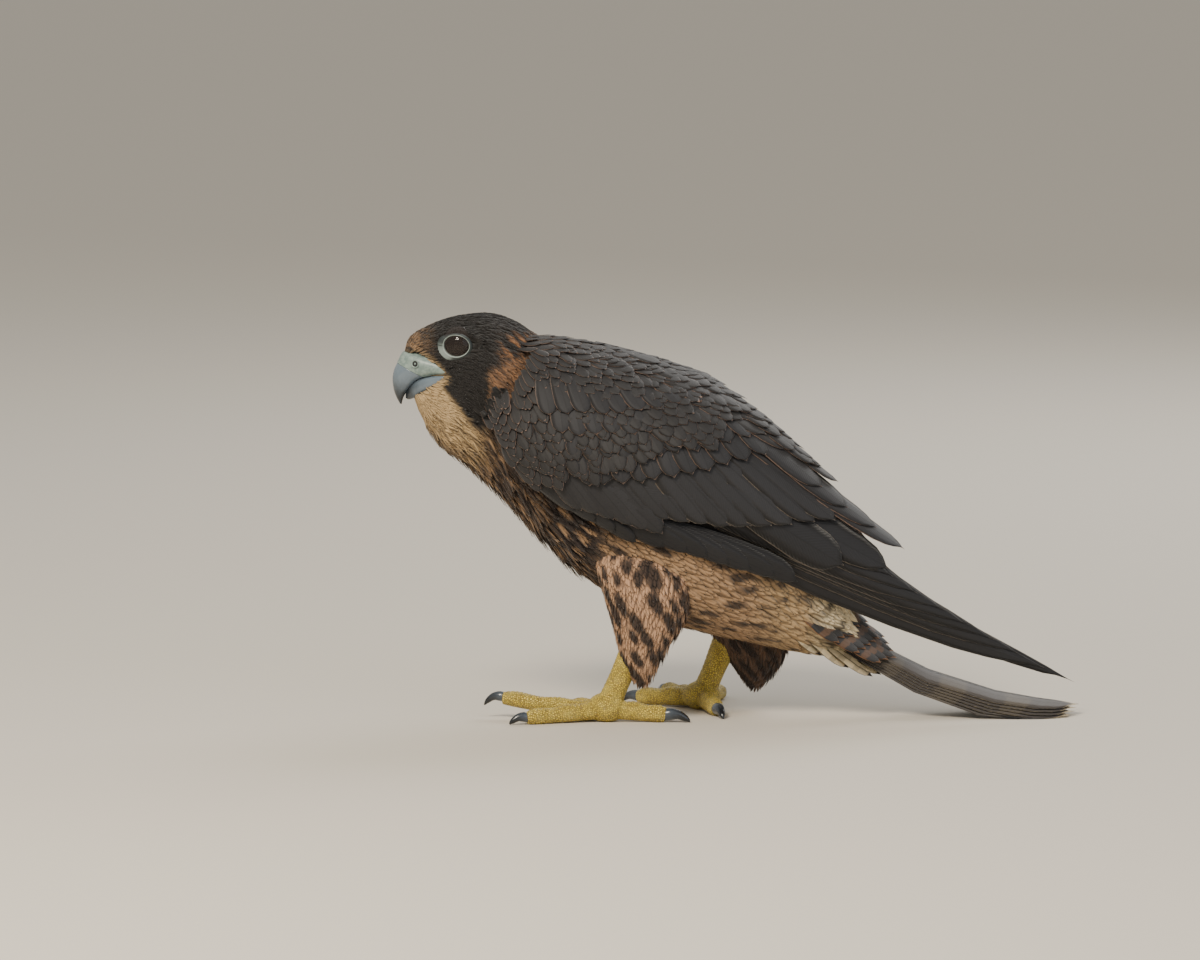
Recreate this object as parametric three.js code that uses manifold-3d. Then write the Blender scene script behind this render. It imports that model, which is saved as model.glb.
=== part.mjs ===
// Juvenile peregrine falcon at life size, standing on both feet with folded wings, tail end on the floor.
// Millimetres, +Z up. The bird faces -X, its left side faces -Y, its mid-plane is y = 0 and the floor z = 0.
import * as THREE from "three";
import { mergeVertices } from "three/addons/utils/BufferGeometryUtils.js";
import Module from "manifold-3d";

const wasm = await Module();
wasm.setup();

// Driving dimensions
const GAP = 0.3; // between pieces that touch
const RING_SIDES = 20; // corners of a section through the body
const WING_CHORD = 356; // from the bend of the folded wing to its tip
const WING_SLOPE = 25.9; // degrees that the folded wing falls towards its tip
const BEND = { x: -86.9, z: 173.8 }; // the bend of the wing, seen from the side
const SECTION_POWER = 2.2; // 2 is an ellipse, more is squarer
const VANE_THICK = 0.7;
const QUILL_THICK = 0.6; // of flight and tail feathers
const EYE_RADIUS = 10;
const EYE_OPENING = 6.9; // radius of what the lids leave open
const EYE_AT = { x: -104.2, y: 11.4, z: 206.2 };
const LID_RADIUS = 1.15;
const TOE_LENGTHS = { inner: 34, middle: 50, outer: 38, hind: 25 };
const TAIL_LENGTH = 158; // beyond the tail's root
const TAIL_ROLL = 23; // degrees, the left edge lower

const DEGREE = Math.PI / 180;
const lerp = THREE.MathUtils.lerp;
const clamp = THREE.MathUtils.clamp;
const vec = (x, y, z) => new THREE.Vector3(x, y, z);

// Values of a table at a fractional row, by a Catmull-Rom curve through its rows.
function between(rows, t) {
  const last = rows.length - 1;
  const i = clamp(Math.floor(t), 0, last - 1);
  const u = t - i;
  const row = (k) => rows[clamp(k, 0, last)];
  return rows[0].map((_, c) => {
    const [p, q, r, s] = [row(i - 1)[c], row(i)[c], row(i + 1)[c], row(i + 2)[c]];
    const bend = 2 * p - 5 * q + 4 * r - s;
    const twist = 3 * q - p - 3 * r + s;
    return 0.5 * (2 * q + (r - p) * u + bend * u * u + twist * u ** 3);
  });
}

// A value read off a list of [at, value] pairs by straight lines.
function along(pairs, at) {
  const k = pairs.findIndex(([x]) => x >= at);
  if (k === -1) return pairs[pairs.length - 1][1];
  if (k === 0) return pairs[0][1];
  const [[x0, v0], [x1, v1]] = [pairs[k - 1], pairs[k]];
  return lerp(v0, v1, (at - x0) / (x1 - x0));
}

// Solids

function solidOf(points, triangles) {
  const make = (tris) =>
    new wasm.Manifold(
      new wasm.Mesh({
        numProp: 3,
        vertProperties: new Float32Array(points.flatMap((p) => [p.x, p.y, p.z])),
        triVerts: new Uint32Array(tris.flat()),
      }),
    );
  const made = make(triangles);
  return made.volume() > 0 ? made : make(triangles.map(([a, b, c]) => [a, c, b]));
}

function solidOfGeometry(geometry, matrix = new THREE.Matrix4()) {
  const bare = geometry.clone().applyMatrix4(matrix);
  bare.deleteAttribute("normal");
  bare.deleteAttribute("uv");
  const merged = mergeVertices(bare, 1e-4);
  const at = merged.attributes.position;
  const points = Array.from({ length: at.count }, (_, i) => vec(at.getX(i), at.getY(i), at.getZ(i)));
  const index = Array.from(merged.index.array);
  const triangles = Array.from({ length: index.length / 3 }, (_, i) => index.slice(3 * i, 3 * i + 3));
  return solidOf(points, triangles);
}

// A closed skin through rings of equally many points, with a fan over each end.
function loft(rings) {
  const sides = rings[0].length;
  const points = rings.flat();
  const triangles = [];
  for (let i = 0; i + 1 < rings.length; i++)
    for (let k = 0; k < sides; k++) {
      const [a, b] = [i * sides + k, i * sides + ((k + 1) % sides)];
      triangles.push([a, b, b + sides], [a, b + sides, a + sides]);
    }
  for (const [i, turned] of [[0, true], [rings.length - 1, false]]) {
    const middle = rings[i].reduce((sum, p) => sum.add(p), vec(0, 0, 0)).divideScalar(sides);
    points.push(middle);
    for (let k = 0; k < sides; k++) {
      const [a, b] = [i * sides + k, i * sides + ((k + 1) % sides)];
      triangles.push(turned ? [b, a, points.length - 1] : [a, b, points.length - 1]);
    }
  }
  return solidOf(points, triangles);
}

// A thin curved plate over a grid of places, split into triangles alike on both faces.
function plate(rows, columns, top, bottom) {
  const points = [];
  for (const face of [top, bottom])
    for (let i = 0; i < rows; i++) for (let k = 0; k < columns; k++) points.push(face(i, k));
  const upper = (i, k) => i * columns + k;
  const lower = (i, k) => rows * columns + upper(i, k);
  const triangles = [];
  for (let i = 0; i + 1 < rows; i++)
    for (let k = 0; k + 1 < columns; k++) {
      triangles.push([upper(i, k), upper(i + 1, k), upper(i + 1, k + 1)]);
      triangles.push([upper(i, k), upper(i + 1, k + 1), upper(i, k + 1)]);
      triangles.push([lower(i, k), lower(i + 1, k + 1), lower(i + 1, k)]);
      triangles.push([lower(i, k), lower(i, k + 1), lower(i + 1, k + 1)]);
    }
  const wall = (a, b) => {
    triangles.push([upper(...b), upper(...a), lower(...a)], [upper(...b), lower(...a), lower(...b)]);
  };
  for (let i = 0; i + 1 < rows; i++) {
    wall([i, 0], [i + 1, 0]);
    wall([i + 1, columns - 1], [i, columns - 1]);
  }
  for (let k = 0; k + 1 < columns; k++) {
    wall([0, k + 1], [0, k]);
    wall([rows - 1, k], [rows - 1, k + 1]);
  }
  return solidOf(points, triangles);
}

function joined(solids) {
  return solids.reduce((whole, piece) => whole.add(piece));
}

function carved(solid, cutters) {
  return cutters.reduce((left, cutter) => left.subtract(cutter), solid);
}

// The largest closed surface of a solid, which drops scraps and fills sealed hollows.
function largest(solid) {
  return solid.decompose().reduce((best, part) => (part.volume() > best.volume() ? part : best));
}

// A section between a top and a bottom point of the side view.
// Row: topX, topZ, bottomX, bottomZ, halfWidth, level of the widest place (0 bottom, 1 top), power.
function sectionRing([tx, tz, bx, bz, half, level, power], grow, shift, sides, centreY = 0) {
  const height = Math.hypot(tx - bx, tz - bz);
  const [ux, uz] = [(tx - bx) / height, (tz - bz) / height];
  const [mx, mz] = [bx + ux * height * level, bz + uz * height * level];
  return Array.from({ length: sides }, (_, k) => {
    const turn = (2 * Math.PI * k) / sides;
    const [c, s] = [Math.cos(turn), Math.sin(turn)];
    const reach = s > 0 ? height * (1 - level) + grow : height * level + grow;
    const up = Math.sign(s) * Math.abs(s) ** (2 / power) * reach;
    const side = Math.sign(c) * Math.abs(c) ** (2 / power) * (half + grow);
    return vec(mx + ux * up + uz * shift, centreY + side, mz + uz * up - ux * shift);
  });
}

// The stretch of a sectioned form between two rows. Its ends draw back by half a gap, or grow outwards.
function stretch(rows, from, to, steps, { grow = 0, sides = RING_SIDES, centreY = () => 0 } = {}) {
  const end = grow > 0 ? grow : -GAP / 2;
  const [first, last] = [rows[0], rows[rows.length - 1]];
  const [ux, uz] = [first[0] - first[2], first[1] - first[3]];
  const [dx, dz] = [last[0] + last[2] - first[0] - first[2], last[1] + last[3] - first[1] - first[3]];
  const onwards = Math.sign(uz * dx - ux * dz);
  const rings = Array.from({ length: steps + 1 }, (_, i) => {
    const t = lerp(from, to, i / steps);
    const shift = onwards * (i === 0 ? -end : i === steps ? end : 0);
    return sectionRing(between(rows, t), grow, shift, sides, centreY(t));
  });
  return loft(rings);
}

// A round limb along a path of [x, y, z, radius] rows, never lower than the floor.
function limb(rows, steps, { grow = 0, sides = 10 } = {}) {
  const at = (t) => between(rows, clamp(t, 0, rows.length - 1));
  const rings = Array.from({ length: steps + 1 }, (_, i) => {
    const t = ((rows.length - 1) * i) / steps;
    const [x, y, z, radius] = at(t);
    const ahead = vec(...at(t + 0.05)).sub(vec(...at(t - 0.05))).normalize();
    const side = vec(0, 0, 1).cross(ahead);
    if (side.length() < 0.2) side.set(0, 1, 0);
    side.addScaledVector(ahead, -side.dot(ahead)).normalize();
    const up = ahead.clone().cross(side);
    const shift = i === 0 ? -grow : i === steps ? grow : 0;
    return Array.from({ length: sides }, (_, k) => {
      const turn = (2 * Math.PI * (k + 0.5)) / sides;
      const p = vec(x, y, z)
        .addScaledVector(side, Math.cos(turn) * (radius + grow))
        .addScaledVector(up, Math.sin(turn) * (radius + grow))
        .addScaledVector(ahead, shift);
      p.z = Math.max(p.z, grow > 0 ? -grow : 0);
      return p;
    });
  });
  return loft(rings);
}

// Head, neck and torso as one row of sections from the face to the root of the tail
const BODY = [
  [-135.3, 201.0, -129.8, 175.5, 6.5, 0.55, 2.2],
  [-131.5, 209.6, -126.5, 167.2, 8.6, 0.56, 2.2],
  [-122.1, 215.3, -121.0, 156.8, 11.4, 0.58, 2.2],
  [-111.1, 219.5, -113.9, 148.5, 15.6, 0.6, 2.2],
  [-99.6, 221.7, -105.6, 142.5, 21.5, 0.6, 2.2],
  [-86.9, 222.0, -96.8, 135.9, 24.8, 0.58, 2.2],
  [-74.3, 217.8, -88.0, 128.2, 26.8, 0.55, 2.2],
  [-61.6, 209.8, -78.7, 119.4, 30.5, 0.52, 2.2],
  [-48.4, 204.6, -68.2, 107.8, 37.0, 0.5, 2.2],
  [-31.9, 199.1, -55.0, 94.1, 43.0, 0.5, 2.2],
  [-12.1, 193.1, -38.5, 79.2, 47.0, 0.5, 2.2],
  [9.9, 184.8, -17.6, 64.9, 48.5, 0.5, 2.2],
  [31.9, 171.6, 6.6, 52.8, 46.5, 0.48, 2.2],
  [52.8, 152.9, 31.9, 45.7, 41.5, 0.46, 2.2],
  [72.6, 129.8, 56.1, 40.7, 34.5, 0.45, 2.2],
  [88.0, 105.1, 77.0, 36.3, 27.0, 0.46, 2.2],
  [100.1, 82.5, 93.5, 33.6, 20.0, 0.48, 2.2],
  [108.9, 66.0, 105.6, 34.1, 13.0, 0.5, 2.2],
];
const [FACE, NAPE, SHOULDER, RUMP] = [0, 6, 8, BODY.length - 1];

const headForm = (grow) => stretch(BODY, FACE, NAPE, 12, { grow });
const neckForm = (grow) => stretch(BODY, NAPE, SHOULDER, 3, { grow });
const torsoForm = (grow) => stretch(BODY, SHOULDER, RUMP, 10, { grow });

// Bill: rows from the gape to the tip, the upper half's rows ending in the hook
const UPPER_BILL = [
  [-125.0, 201.0, -108.9, 188.1, 15.2, 0.12, 1.9],
  [-134.6, 201.2, -115.5, 188.1, 12.6, 0.2, 2.0],
  [-138.3, 195.8, -122.1, 187.0, 10.0, 0.28, 2.1],
  [-140.6, 191.1, -127.6, 185.1, 7.9, 0.32, 2.2],
  [-141.5, 185.9, -131.2, 181.8, 6.1, 0.35, 2.2],
  [-141.0, 180.7, -133.9, 178.5, 4.3, 0.4, 2.1],
  [-139.6, 176.3, -135.5, 175.4, 2.6, 0.45, 2.0],
  [-137.5, 172.3, -136.5, 172.0, 0.6, 0.5, 2.0],
];
const LOWER_BILL = [
  [-112.2, 187.4, -115.5, 181.4, 13.8, 0.6, 2.2],
  [-119.9, 186.0, -122.1, 179.2, 10.8, 0.6, 2.2],
  [-126.0, 184.2, -127.1, 176.8, 7.9, 0.6, 2.2],
  [-130.4, 181.2, -131.0, 175.1, 5.5, 0.6, 2.2],
  [-132.8, 179.0, -133.1, 174.9, 3.3, 0.6, 2.1],
  [-134.2, 177.0, -134.3, 175.6, 1.3, 0.55, 2.0],
];
const CERE_END = 2.15; // row of the upper bill where the soft cere ends
const NOSTRIL = { x: -128.6, z: 195.0, radius: 1.6, depth: 2.2 };

function bill() {
  const sides = 14;
  const tip = UPPER_BILL.length - 1;
  const cereForm = (grow) => stretch(UPPER_BILL, 0, CERE_END, 4, { grow, sides });
  const upperForm = (grow) => stretch(UPPER_BILL, CERE_END, tip, 7, { grow, sides });
  const lowerForm = (grow) => stretch(LOWER_BILL, 0, LOWER_BILL.length - 1, 6, { grow, sides });
  const nostrils = [-1, 1].map((side) => {
    const place = new THREE.Matrix4().setPosition(NOSTRIL.x, side * 8.6, NOSTRIL.z);
    const { radius, depth } = NOSTRIL;
    return solidOfGeometry(new THREE.CylinderGeometry(radius, radius, 2 * depth, 8), place);
  });
  const lower = carved(lowerForm(0), [cereForm(GAP), upperForm(GAP)]);
  const cutters = [0, 1.5 * GAP].flatMap((grow) => [cereForm(grow), upperForm(grow), lowerForm(grow)]);
  return { cere: carved(cereForm(0), nostrils), upper: upperForm(0), lower, cutters };
}

// Eyes face sideways and a little forwards and down.
const EYE_FORWARD = 16 * DEGREE;
const EYE_DOWN = 4 * DEGREE;

function eyeFrame(side) {
  const look = vec(-Math.sin(EYE_FORWARD), side * Math.cos(EYE_FORWARD), -Math.sin(EYE_DOWN)).normalize();
  const turn = new THREE.Quaternion().setFromUnitVectors(vec(0, 0, 1), look);
  const centre = vec(EYE_AT.x, side * EYE_AT.y, EYE_AT.z);
  return { look, turn, centre };
}

function eyeBall(side, grow) {
  const { turn, centre } = eyeFrame(side);
  const place = new THREE.Matrix4().compose(centre, turn, vec(1, 1, 1));
  return solidOfGeometry(new THREE.SphereGeometry(EYE_RADIUS + grow, 14, 10), place);
}

function lidRing(side) {
  const { look, turn, centre } = eyeFrame(side);
  const depth = Math.sqrt(EYE_RADIUS ** 2 - EYE_OPENING ** 2);
  const middle = centre.clone().addScaledVector(look, depth - 0.2);
  const place = new THREE.Matrix4().compose(middle, turn, vec(1, 1, 1));
  return solidOfGeometry(new THREE.TorusGeometry(EYE_OPENING + LID_RADIUS * 0.8, LID_RADIUS, 6, 16), place);
}

// The ridge that shades the eye from above.
function browRidge(side) {
  const rows = [
    [-125.5, side * 13.2, 207.5, 1.2],
    [-118.0, side * 16.6, 211.8, 2.6],
    [-109.0, side * 18.0, 214.6, 3.0],
    [-99.0, side * 19.4, 213.4, 2.6],
    [-91.0, side * 20.5, 209.0, 1.4],
  ];
  return limb(rows, 6, { sides: 8 });
}

function head(billCutters) {
  const raised = joined([headForm(0), lidRing(-1), lidRing(1), browRidge(-1), browRidge(1)]);
  return carved(raised, [...billCutters, eyeBall(-1, GAP), eyeBall(1, GAP)]);
}

// The folded wing lies on a surface over the body's side: "a" runs from the bend to the tip, the angle "phi"
// from the lower edge over the side (0) to the back's middle line (90 degrees).
const WING_TOP = [
  [0, 44], [20, 50], [45, 55], [75, 60], [100, 62], [140, 55],
  [180, 43], [220, 32], [260, 24], [300, 19], [357, 14],
];
const WING_BOTTOM = [[0, 40], [45, 45], [100, 50], [180, 42], [260, 32], [357, 20]];
const WING_SIDE = [
  [0, 50], [20, 56], [45, 60], [75, 61], [100, 60], [140, 53],
  [180, 43.5], [220, 34], [260, 27], [300, 22], [357, 16],
];
const SHOULDER_CURL = 26; // over this length the wing's front curls in to the neck
const SHOULDER_IN = 0.34;

function wingSurface(a, phi) {
  const squash = (v) => Math.sign(v) * Math.abs(v) ** (2 / SECTION_POWER);
  const slope = WING_SLOPE * DEGREE;
  const b = squash(Math.sin(phi)) * along(phi > 0 ? WING_TOP : WING_BOTTOM, a);
  const front = clamp((SHOULDER_CURL - a) / SHOULDER_CURL, 0, 1);
  const curl = 1 - SHOULDER_IN * (1 - Math.sqrt(1 - front * front));
  const half = along(WING_SIDE, a) * squash(Math.cos(phi)) * curl;
  return vec(
    BEND.x + a * Math.cos(slope) + b * Math.sin(slope),
    -half,
    BEND.z - a * Math.sin(slope) + b * Math.cos(slope),
  );
}

// The angle at which the surface stands "b" above the wing's axis in the side view.
function angleAt(a, b) {
  const share = clamp(Math.abs(b) / along(b > 0 ? WING_TOP : WING_BOTTOM, a), 0, 1);
  return Math.sign(b) * Math.asin(share ** (SECTION_POWER / 2));
}

function liftedFrom(surface, u, v, lift) {
  const step = 0.02;
  const alongU = surface(u + step * 10, v).sub(surface(u - step * 10, v));
  const alongV = surface(u, v + step).sub(surface(u, v - step));
  const out = alongU.cross(alongV).normalize();
  return surface(u, v).addScaledVector(out, lift);
}

// Places on the unrolled wing: c is the way round from phi = 0, in millimetres.
const wingRound = (a) => (along(WING_SIDE, a) + along(WING_TOP, a)) / 2;

function wingPlace(a, c, lift) {
  const phi = Math.min(c / wingRound(a), Math.PI / 2 - 0.03);
  const p = liftedFrom(wingSurface, a, phi, lift);
  p.y = Math.min(p.y, -GAP);
  return p;
}

const unrolled = (a, b) => ({ a, c: angleAt(a, b) * wingRound(a) });

// Outlines of feathers: [share of the length, share of the width]
const ROUND_TIP = [[0, 0.5], [0.5, 1], [0.88, 0.84], [1, 0.3]];
const POINTED_TIP = [[0, 0.5], [0.3, 1], [0.62, 0.92], [0.86, 0.55], [1, 0.1]];
const TAIL_TIP = [[0, 0.35], [0.35, 0.8], [0.75, 1], [0.94, 0.8], [1, 0.3]];
const COVERT_TIP = [[0, 0.6], [0.55, 1], [0.87, 0.78], [1, 0.28]];

// One feather on a surface. Its root and tip are places of the unrolled surface, its webs are the widths on
// both sides of the shaft, and its lifts are its heights over the surface at the root and the tip.
function vane(feather) {
  const { place, root, tip, webs, lifts, outline, floor } = feather;
  const { thick = VANE_THICK, roll = 0, ridge = 0, bow = 0 } = feather;
  const length = Math.hypot(tip.a - root.a, tip.c - root.c);
  const [da, dc] = [(tip.a - root.a) / length, (tip.c - root.c) / length];
  const across = ridge > 0 ? [-1, 0, 1] : [-1, 1];
  const face = (sign) => (i, k) => {
    const [t, share] = outline[i];
    const side = across[k];
    const aside = side * share * (side < 0 ? webs[0] : webs[1]) + bow * Math.sin(Math.PI * t) * length;
    const shaft = ridge * (1 - Math.abs(side));
    const lift = lerp(lifts[0], lifts[1], t) + side * roll * share + shaft + (sign * thick) / 2;
    const p = place(root.a + da * length * t - dc * aside, root.c + dc * length * t + da * aside, lift);
    if (floor) p.z = Math.max(p.z, sign > 0 ? thick : 0);
    return p;
  };
  return plate(outline.length, across.length, face(1), face(-1));
}

// A tier of feathers. Each end states its tip as [a, b] of the side view, its direction, length and webs.
function tier({ count, first, last, bend = 0, ...shared }) {
  return Array.from({ length: count }, (_, i) => {
    const t = count > 1 ? i / (count - 1) : 0;
    const mix = (key) => lerp(first[key], last[key], t);
    const tip = unrolled(mix("a"), mix("b") + bend * Math.sin(Math.PI * t));
    const turn = mix("turn") * DEGREE;
    const length = mix("length");
    const root = { a: tip.a - Math.cos(turn) * length, c: tip.c - Math.sin(turn) * length };
    const rise = mix("rise");
    const lifts = shared.lifts.map((lift) => lift + rise);
    return vane({ place: wingPlace, root, tip, webs: [mix("outer"), mix("inner")], ...shared, lifts });
  });
}

const CORE_TOP = [[0, 12], [7, 46], [19, 78], [30, 90]];
const CORE_LOW = [
  [0, -6], [11, -16], [28, -30], [45, -33], [81, -38],
  [117, -35], [139, -30], [176, -22], [210, -20],
];
const CORE_THICK = [[0, 9], [30, 17], [120, 17], [160, 9], [205, 3.5]];

function wingCore() {
  const [rows, columns] = [9, 7];
  const [front, rear] = [1, 200];
  const face = (inner) => (i, k) => {
    const [t, s] = [i / (rows - 1), k / (columns - 1)];
    const a = lerp(front, rear, t);
    const phi = lerp(along(CORE_LOW, a), along(CORE_TOP, a), s) * DEGREE;
    const edge = Math.max(1 - a / 16, 1 - s / 0.14, 0);
    const outer = -1.6 - 5 * edge * edge;
    return wingPlace(a, phi * wingRound(a), inner ? outer - along(CORE_THICK, a) : outer);
  };
  return plate(rows, columns, face(false), face(true));
}

function wingFeathers() {
  const end = (a, b, turn, length, outer, inner, rise = 0) => ({ a, b, turn, length, outer, inner, rise });
  const deep = [-1.8, -0.6];
  return [
    // The leading primaries, the longest one undermost
    ...tier({ count: 6, first: end(WING_CHORD, 1, 5, 235, 7, 9, -6), last: end(250, 9, -2, 150, 9, 13, -1.2),
      bend: -1.5, lifts: deep, outline: POINTED_TIP, thick: QUILL_THICK }),
    ...tier({ count: 2, first: end(236, 15, -5, 120, 10, 13, -0.2), last: end(212, 6, -8, 90, 10, 12, 0.7),
      lifts: deep, outline: ROUND_TIP, thick: QUILL_THICK }),
    // Secondaries and tertials
    ...tier({ count: 6, first: end(104, -14, -24, 50, 10, 11, 0), last: end(190, 24, -18, 80, 12, 13, 1.2),
      bend: -3, lifts: [-1.6, 0.4], outline: ROUND_TIP, roll: -0.6 }),
    ...tier({ count: 3, first: end(236, 24.5, -8, 110, 10, 11, 1.4), last: end(182, 35, -16, 74, 11, 12, 2.6),
      lifts: [-1.6, 0.2], outline: ROUND_TIP, roll: -0.6 }),
    // Primary coverts along the lower edge
    ...tier({ count: 2, first: end(176, -15, 3, 70, 6, 9, 0), last: end(124, -27, -3, 52, 6, 9, 0),
      lifts: [-1.6, 0.2], outline: ROUND_TIP, roll: -0.5 }),
    // Greater, median and lesser coverts
    ...tier({ count: 7, first: end(66, -13, -62, 28, 8, 9.5, 2.4), last: end(145, 40, -36, 38, 9, 10.5, 3.2),
      bend: -3, lifts: [-2.4, 0], outline: COVERT_TIP, roll: -0.6 }),
    ...tier({ count: 5, first: end(48, 5, -62, 24, 10, 12, 3.6), last: end(122, 42, -36, 32, 11, 13, 4.4),
      bend: -3, lifts: [-2.8, 0], outline: COVERT_TIP, roll: -0.6 }),
    // Scapulars along the back
    ...tier({ count: 4, first: end(88, 54, -10, 40, 10, 10, 4.4), last: end(176, 43, -9, 54, 10, 9, 3.4),
      lifts: [-2.8, 0], outline: COVERT_TIP, roll: -0.4 }),
  ];
}

// The right wing mirrors the left one, folded tighter, its bend a little lower and further forward.
const FAR_WING = { size: 0.95, ahead: 9, drop: 1 };

function wing(side, cutters) {
  const whole = joined([wingCore(), ...wingFeathers()]);
  const farSide = new THREE.Matrix4().setPosition(0, 100 - GAP / 2, 150);
  const middle = solidOfGeometry(new THREE.BoxGeometry(600, 200, 600), farSide);
  const own = whole.subtract(middle);
  if (side < 0) return carved(own, cutters);
  const mirrored = own.mirror([0, 1, 0]);
  const { size, ahead, drop } = FAR_WING;
  const folded = mirrored
    .translate([-BEND.x, 0, -BEND.z])
    .scale([size, 1, size])
    .translate([BEND.x - ahead, 0, BEND.z - drop]);
  return carved(folded, cutters);
}

// The tail leaves the rump, bends along a curve and ends on the floor, rolled with its left edge down.
const TAIL_ROOT = { x: 92, y: 0, z: 59 };
const TAIL_SLOPES = [-41, -1]; // degrees, at the root and at the tip
const TAIL_ROLLS = [TAIL_ROLL, 5]; // degrees, at the root and at the tip
const TAIL_ARCH = 120; // radius of the tail's cross curve

function tailSpine(s) {
  const steps = 12;
  const at = vec(TAIL_ROOT.x, TAIL_ROOT.y, TAIL_ROOT.z);
  const slopeAt = (share) => lerp(...TAIL_SLOPES, clamp(share, 0, 1)) * DEGREE;
  for (let i = 0; i < steps; i++) {
    const slope = slopeAt((s * (i + 0.5)) / steps / TAIL_LENGTH);
    at.x += (Math.cos(slope) * s) / steps;
    at.z += (Math.sin(slope) * s) / steps;
  }
  return { at, slope: slopeAt(s / TAIL_LENGTH) };
}

function tailPlace(s, c, lift) {
  const { at, slope } = tailSpine(s);
  const tilt = lerp(...TAIL_ROLLS, clamp(s / TAIL_LENGTH, 0, 1)) * DEGREE;
  const arched = tilt - c / TAIL_ARCH;
  const [across, up] = [TAIL_ARCH * Math.sin(c / TAIL_ARCH), TAIL_ARCH * (Math.cos(c / TAIL_ARCH) - 1)];
  const y = across * Math.cos(tilt) - up * Math.sin(tilt) - lift * Math.sin(arched);
  const high = across * Math.sin(tilt) + up * Math.cos(tilt) + lift * Math.cos(arched);
  return vec(at.x - Math.sin(slope) * high, at.y + y, at.z + Math.cos(slope) * high);
}

function tail(cutters) {
  const pairs = 6;
  const rectrices = [-1, 1].flatMap((side) =>
    Array.from({ length: pairs }, (_, i) => {
      const spread = (i + 0.5) * side;
      const beneath = side > 0 ? 0.6 : 0;
      const outer = lerp(12, 7, i / (pairs - 1));
      return vane({
        place: tailPlace,
        root: { a: 2, c: spread * 1.8 },
        tip: { a: TAIL_LENGTH - 1.4 * i - 3.2 * Math.max(0, i - 4), c: spread * 3.2 },
        webs: side < 0 ? [outer, 9] : [9, outer],
        lifts: [0.4 - 0.6 * i - beneath, 2.6 - 1.2 * i - beneath],
        outline: TAIL_TIP,
        thick: 0.5,
        floor: true,
      });
    }),
  );
  const coverts = (count, lift, reach, width) =>
    Array.from({ length: count }, (_, i) => {
      const c = (i - (count - 1) / 2) * width * 1.2;
      return vane({
        place: tailPlace,
        root: { a: -4, c: c * 0.7 },
        tip: { a: reach - Math.abs(c) * 0.5, c },
        webs: [width, width],
        lifts: [lift * 0.8, lift],
        outline: COVERT_TIP,
        roll: 0.3,
      });
    });
  const sections = [[8, -6, 19], [6, -7, 19], [2.5, -5.5, 16]];
  const rootRings = sections.map(([top, bottom, half], i) =>
    Array.from({ length: 14 }, (_, k) => {
      const turn = (2 * Math.PI * k) / 14;
      const lift = lerp(bottom, top, (Math.sin(turn) + 1) / 2);
      return tailPlace(i * 18 - 6, half * Math.cos(turn), lift);
    }),
  );
  const all = [loft(rootRings), ...rectrices, ...coverts(5, 3.2, 44, 7), ...coverts(5, -6.6, 42, 7)];
  return carved(joined(all), cutters);
}

// Legs. Each leg states its foot, its ankle, the feathers round its shin and the way its toes point.
// Trouser rows run down the leg: backX, backZ, frontX, frontZ, halfWidth, level, power.
const LEGS = {
  left: {
    foot: { x: -24, y: -28 },
    ankle: { x: -4, y: -29, z: 52 },
    heading: 176, // degrees from +X towards +Y, so 180 is straight ahead
    spread: { inner: -42, middle: -8, outer: 22, hind: 176 },
    lifted: { middle: 8 },
    trouserY: -29.5,
    trouser: [
      [10, 99, -30, 102, 13, 0.5, 2.1],
      [22, 85, -31, 88, 19, 0.5, 2.1],
      [22, 68, -25.5, 71, 18.5, 0.5, 2.1],
      [17, 53, -20.5, 54, 15.5, 0.5, 2.1],
      [9.5, 41, -17.5, 42, 12, 0.5, 2.1],
      [4, 31, -14.5, 32, 9, 0.5, 2.1],
      [-1, 22, -10, 24, 4.5, 0.5, 2.0],
    ],
  },
  right: {
    foot: { x: 29, y: 24 },
    ankle: { x: 44, y: 26, z: 42 },
    heading: 106,
    spread: { inner: 40, middle: 4, outer: -30, hind: 178 },
    lifted: {},
    trouserY: 27,
    trouser: [
      [60, 82, 20, 88, 14, 0.5, 2.1],
      [69, 64, 20, 70, 18, 0.5, 2.1],
      [75, 47, 29, 52, 16, 0.5, 2.1],
      [75, 32, 37, 37, 13, 0.5, 2.1],
      [68, 19, 45, 26, 9, 0.5, 2.1],
      [60, 12, 51, 17, 4, 0.5, 2.0],
    ],
  },
};
const TOE_GIRTH = [[0, 5.6], [0.22, 4.8], [0.42, 5], [0.62, 4.3], [0.86, 4.5], [1, 3.5]]; // radii along a toe
const CLAW_LENGTHS = { inner: 14, middle: 12, outer: 11, hind: 15 };
const CLAW_GIRTH = { inner: 1.2, middle: 1.1, outer: 1.1, hind: 1.35 };
const PAD = { x: 10.5, y: 9.5, z: 8.2 }; // radii of the foot's ball

function trouserForm(leg, grow) {
  return stretch(leg.trouser, 0, leg.trouser.length - 1, 9, { grow, sides: 16, centreY: () => leg.trouserY });
}

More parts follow.
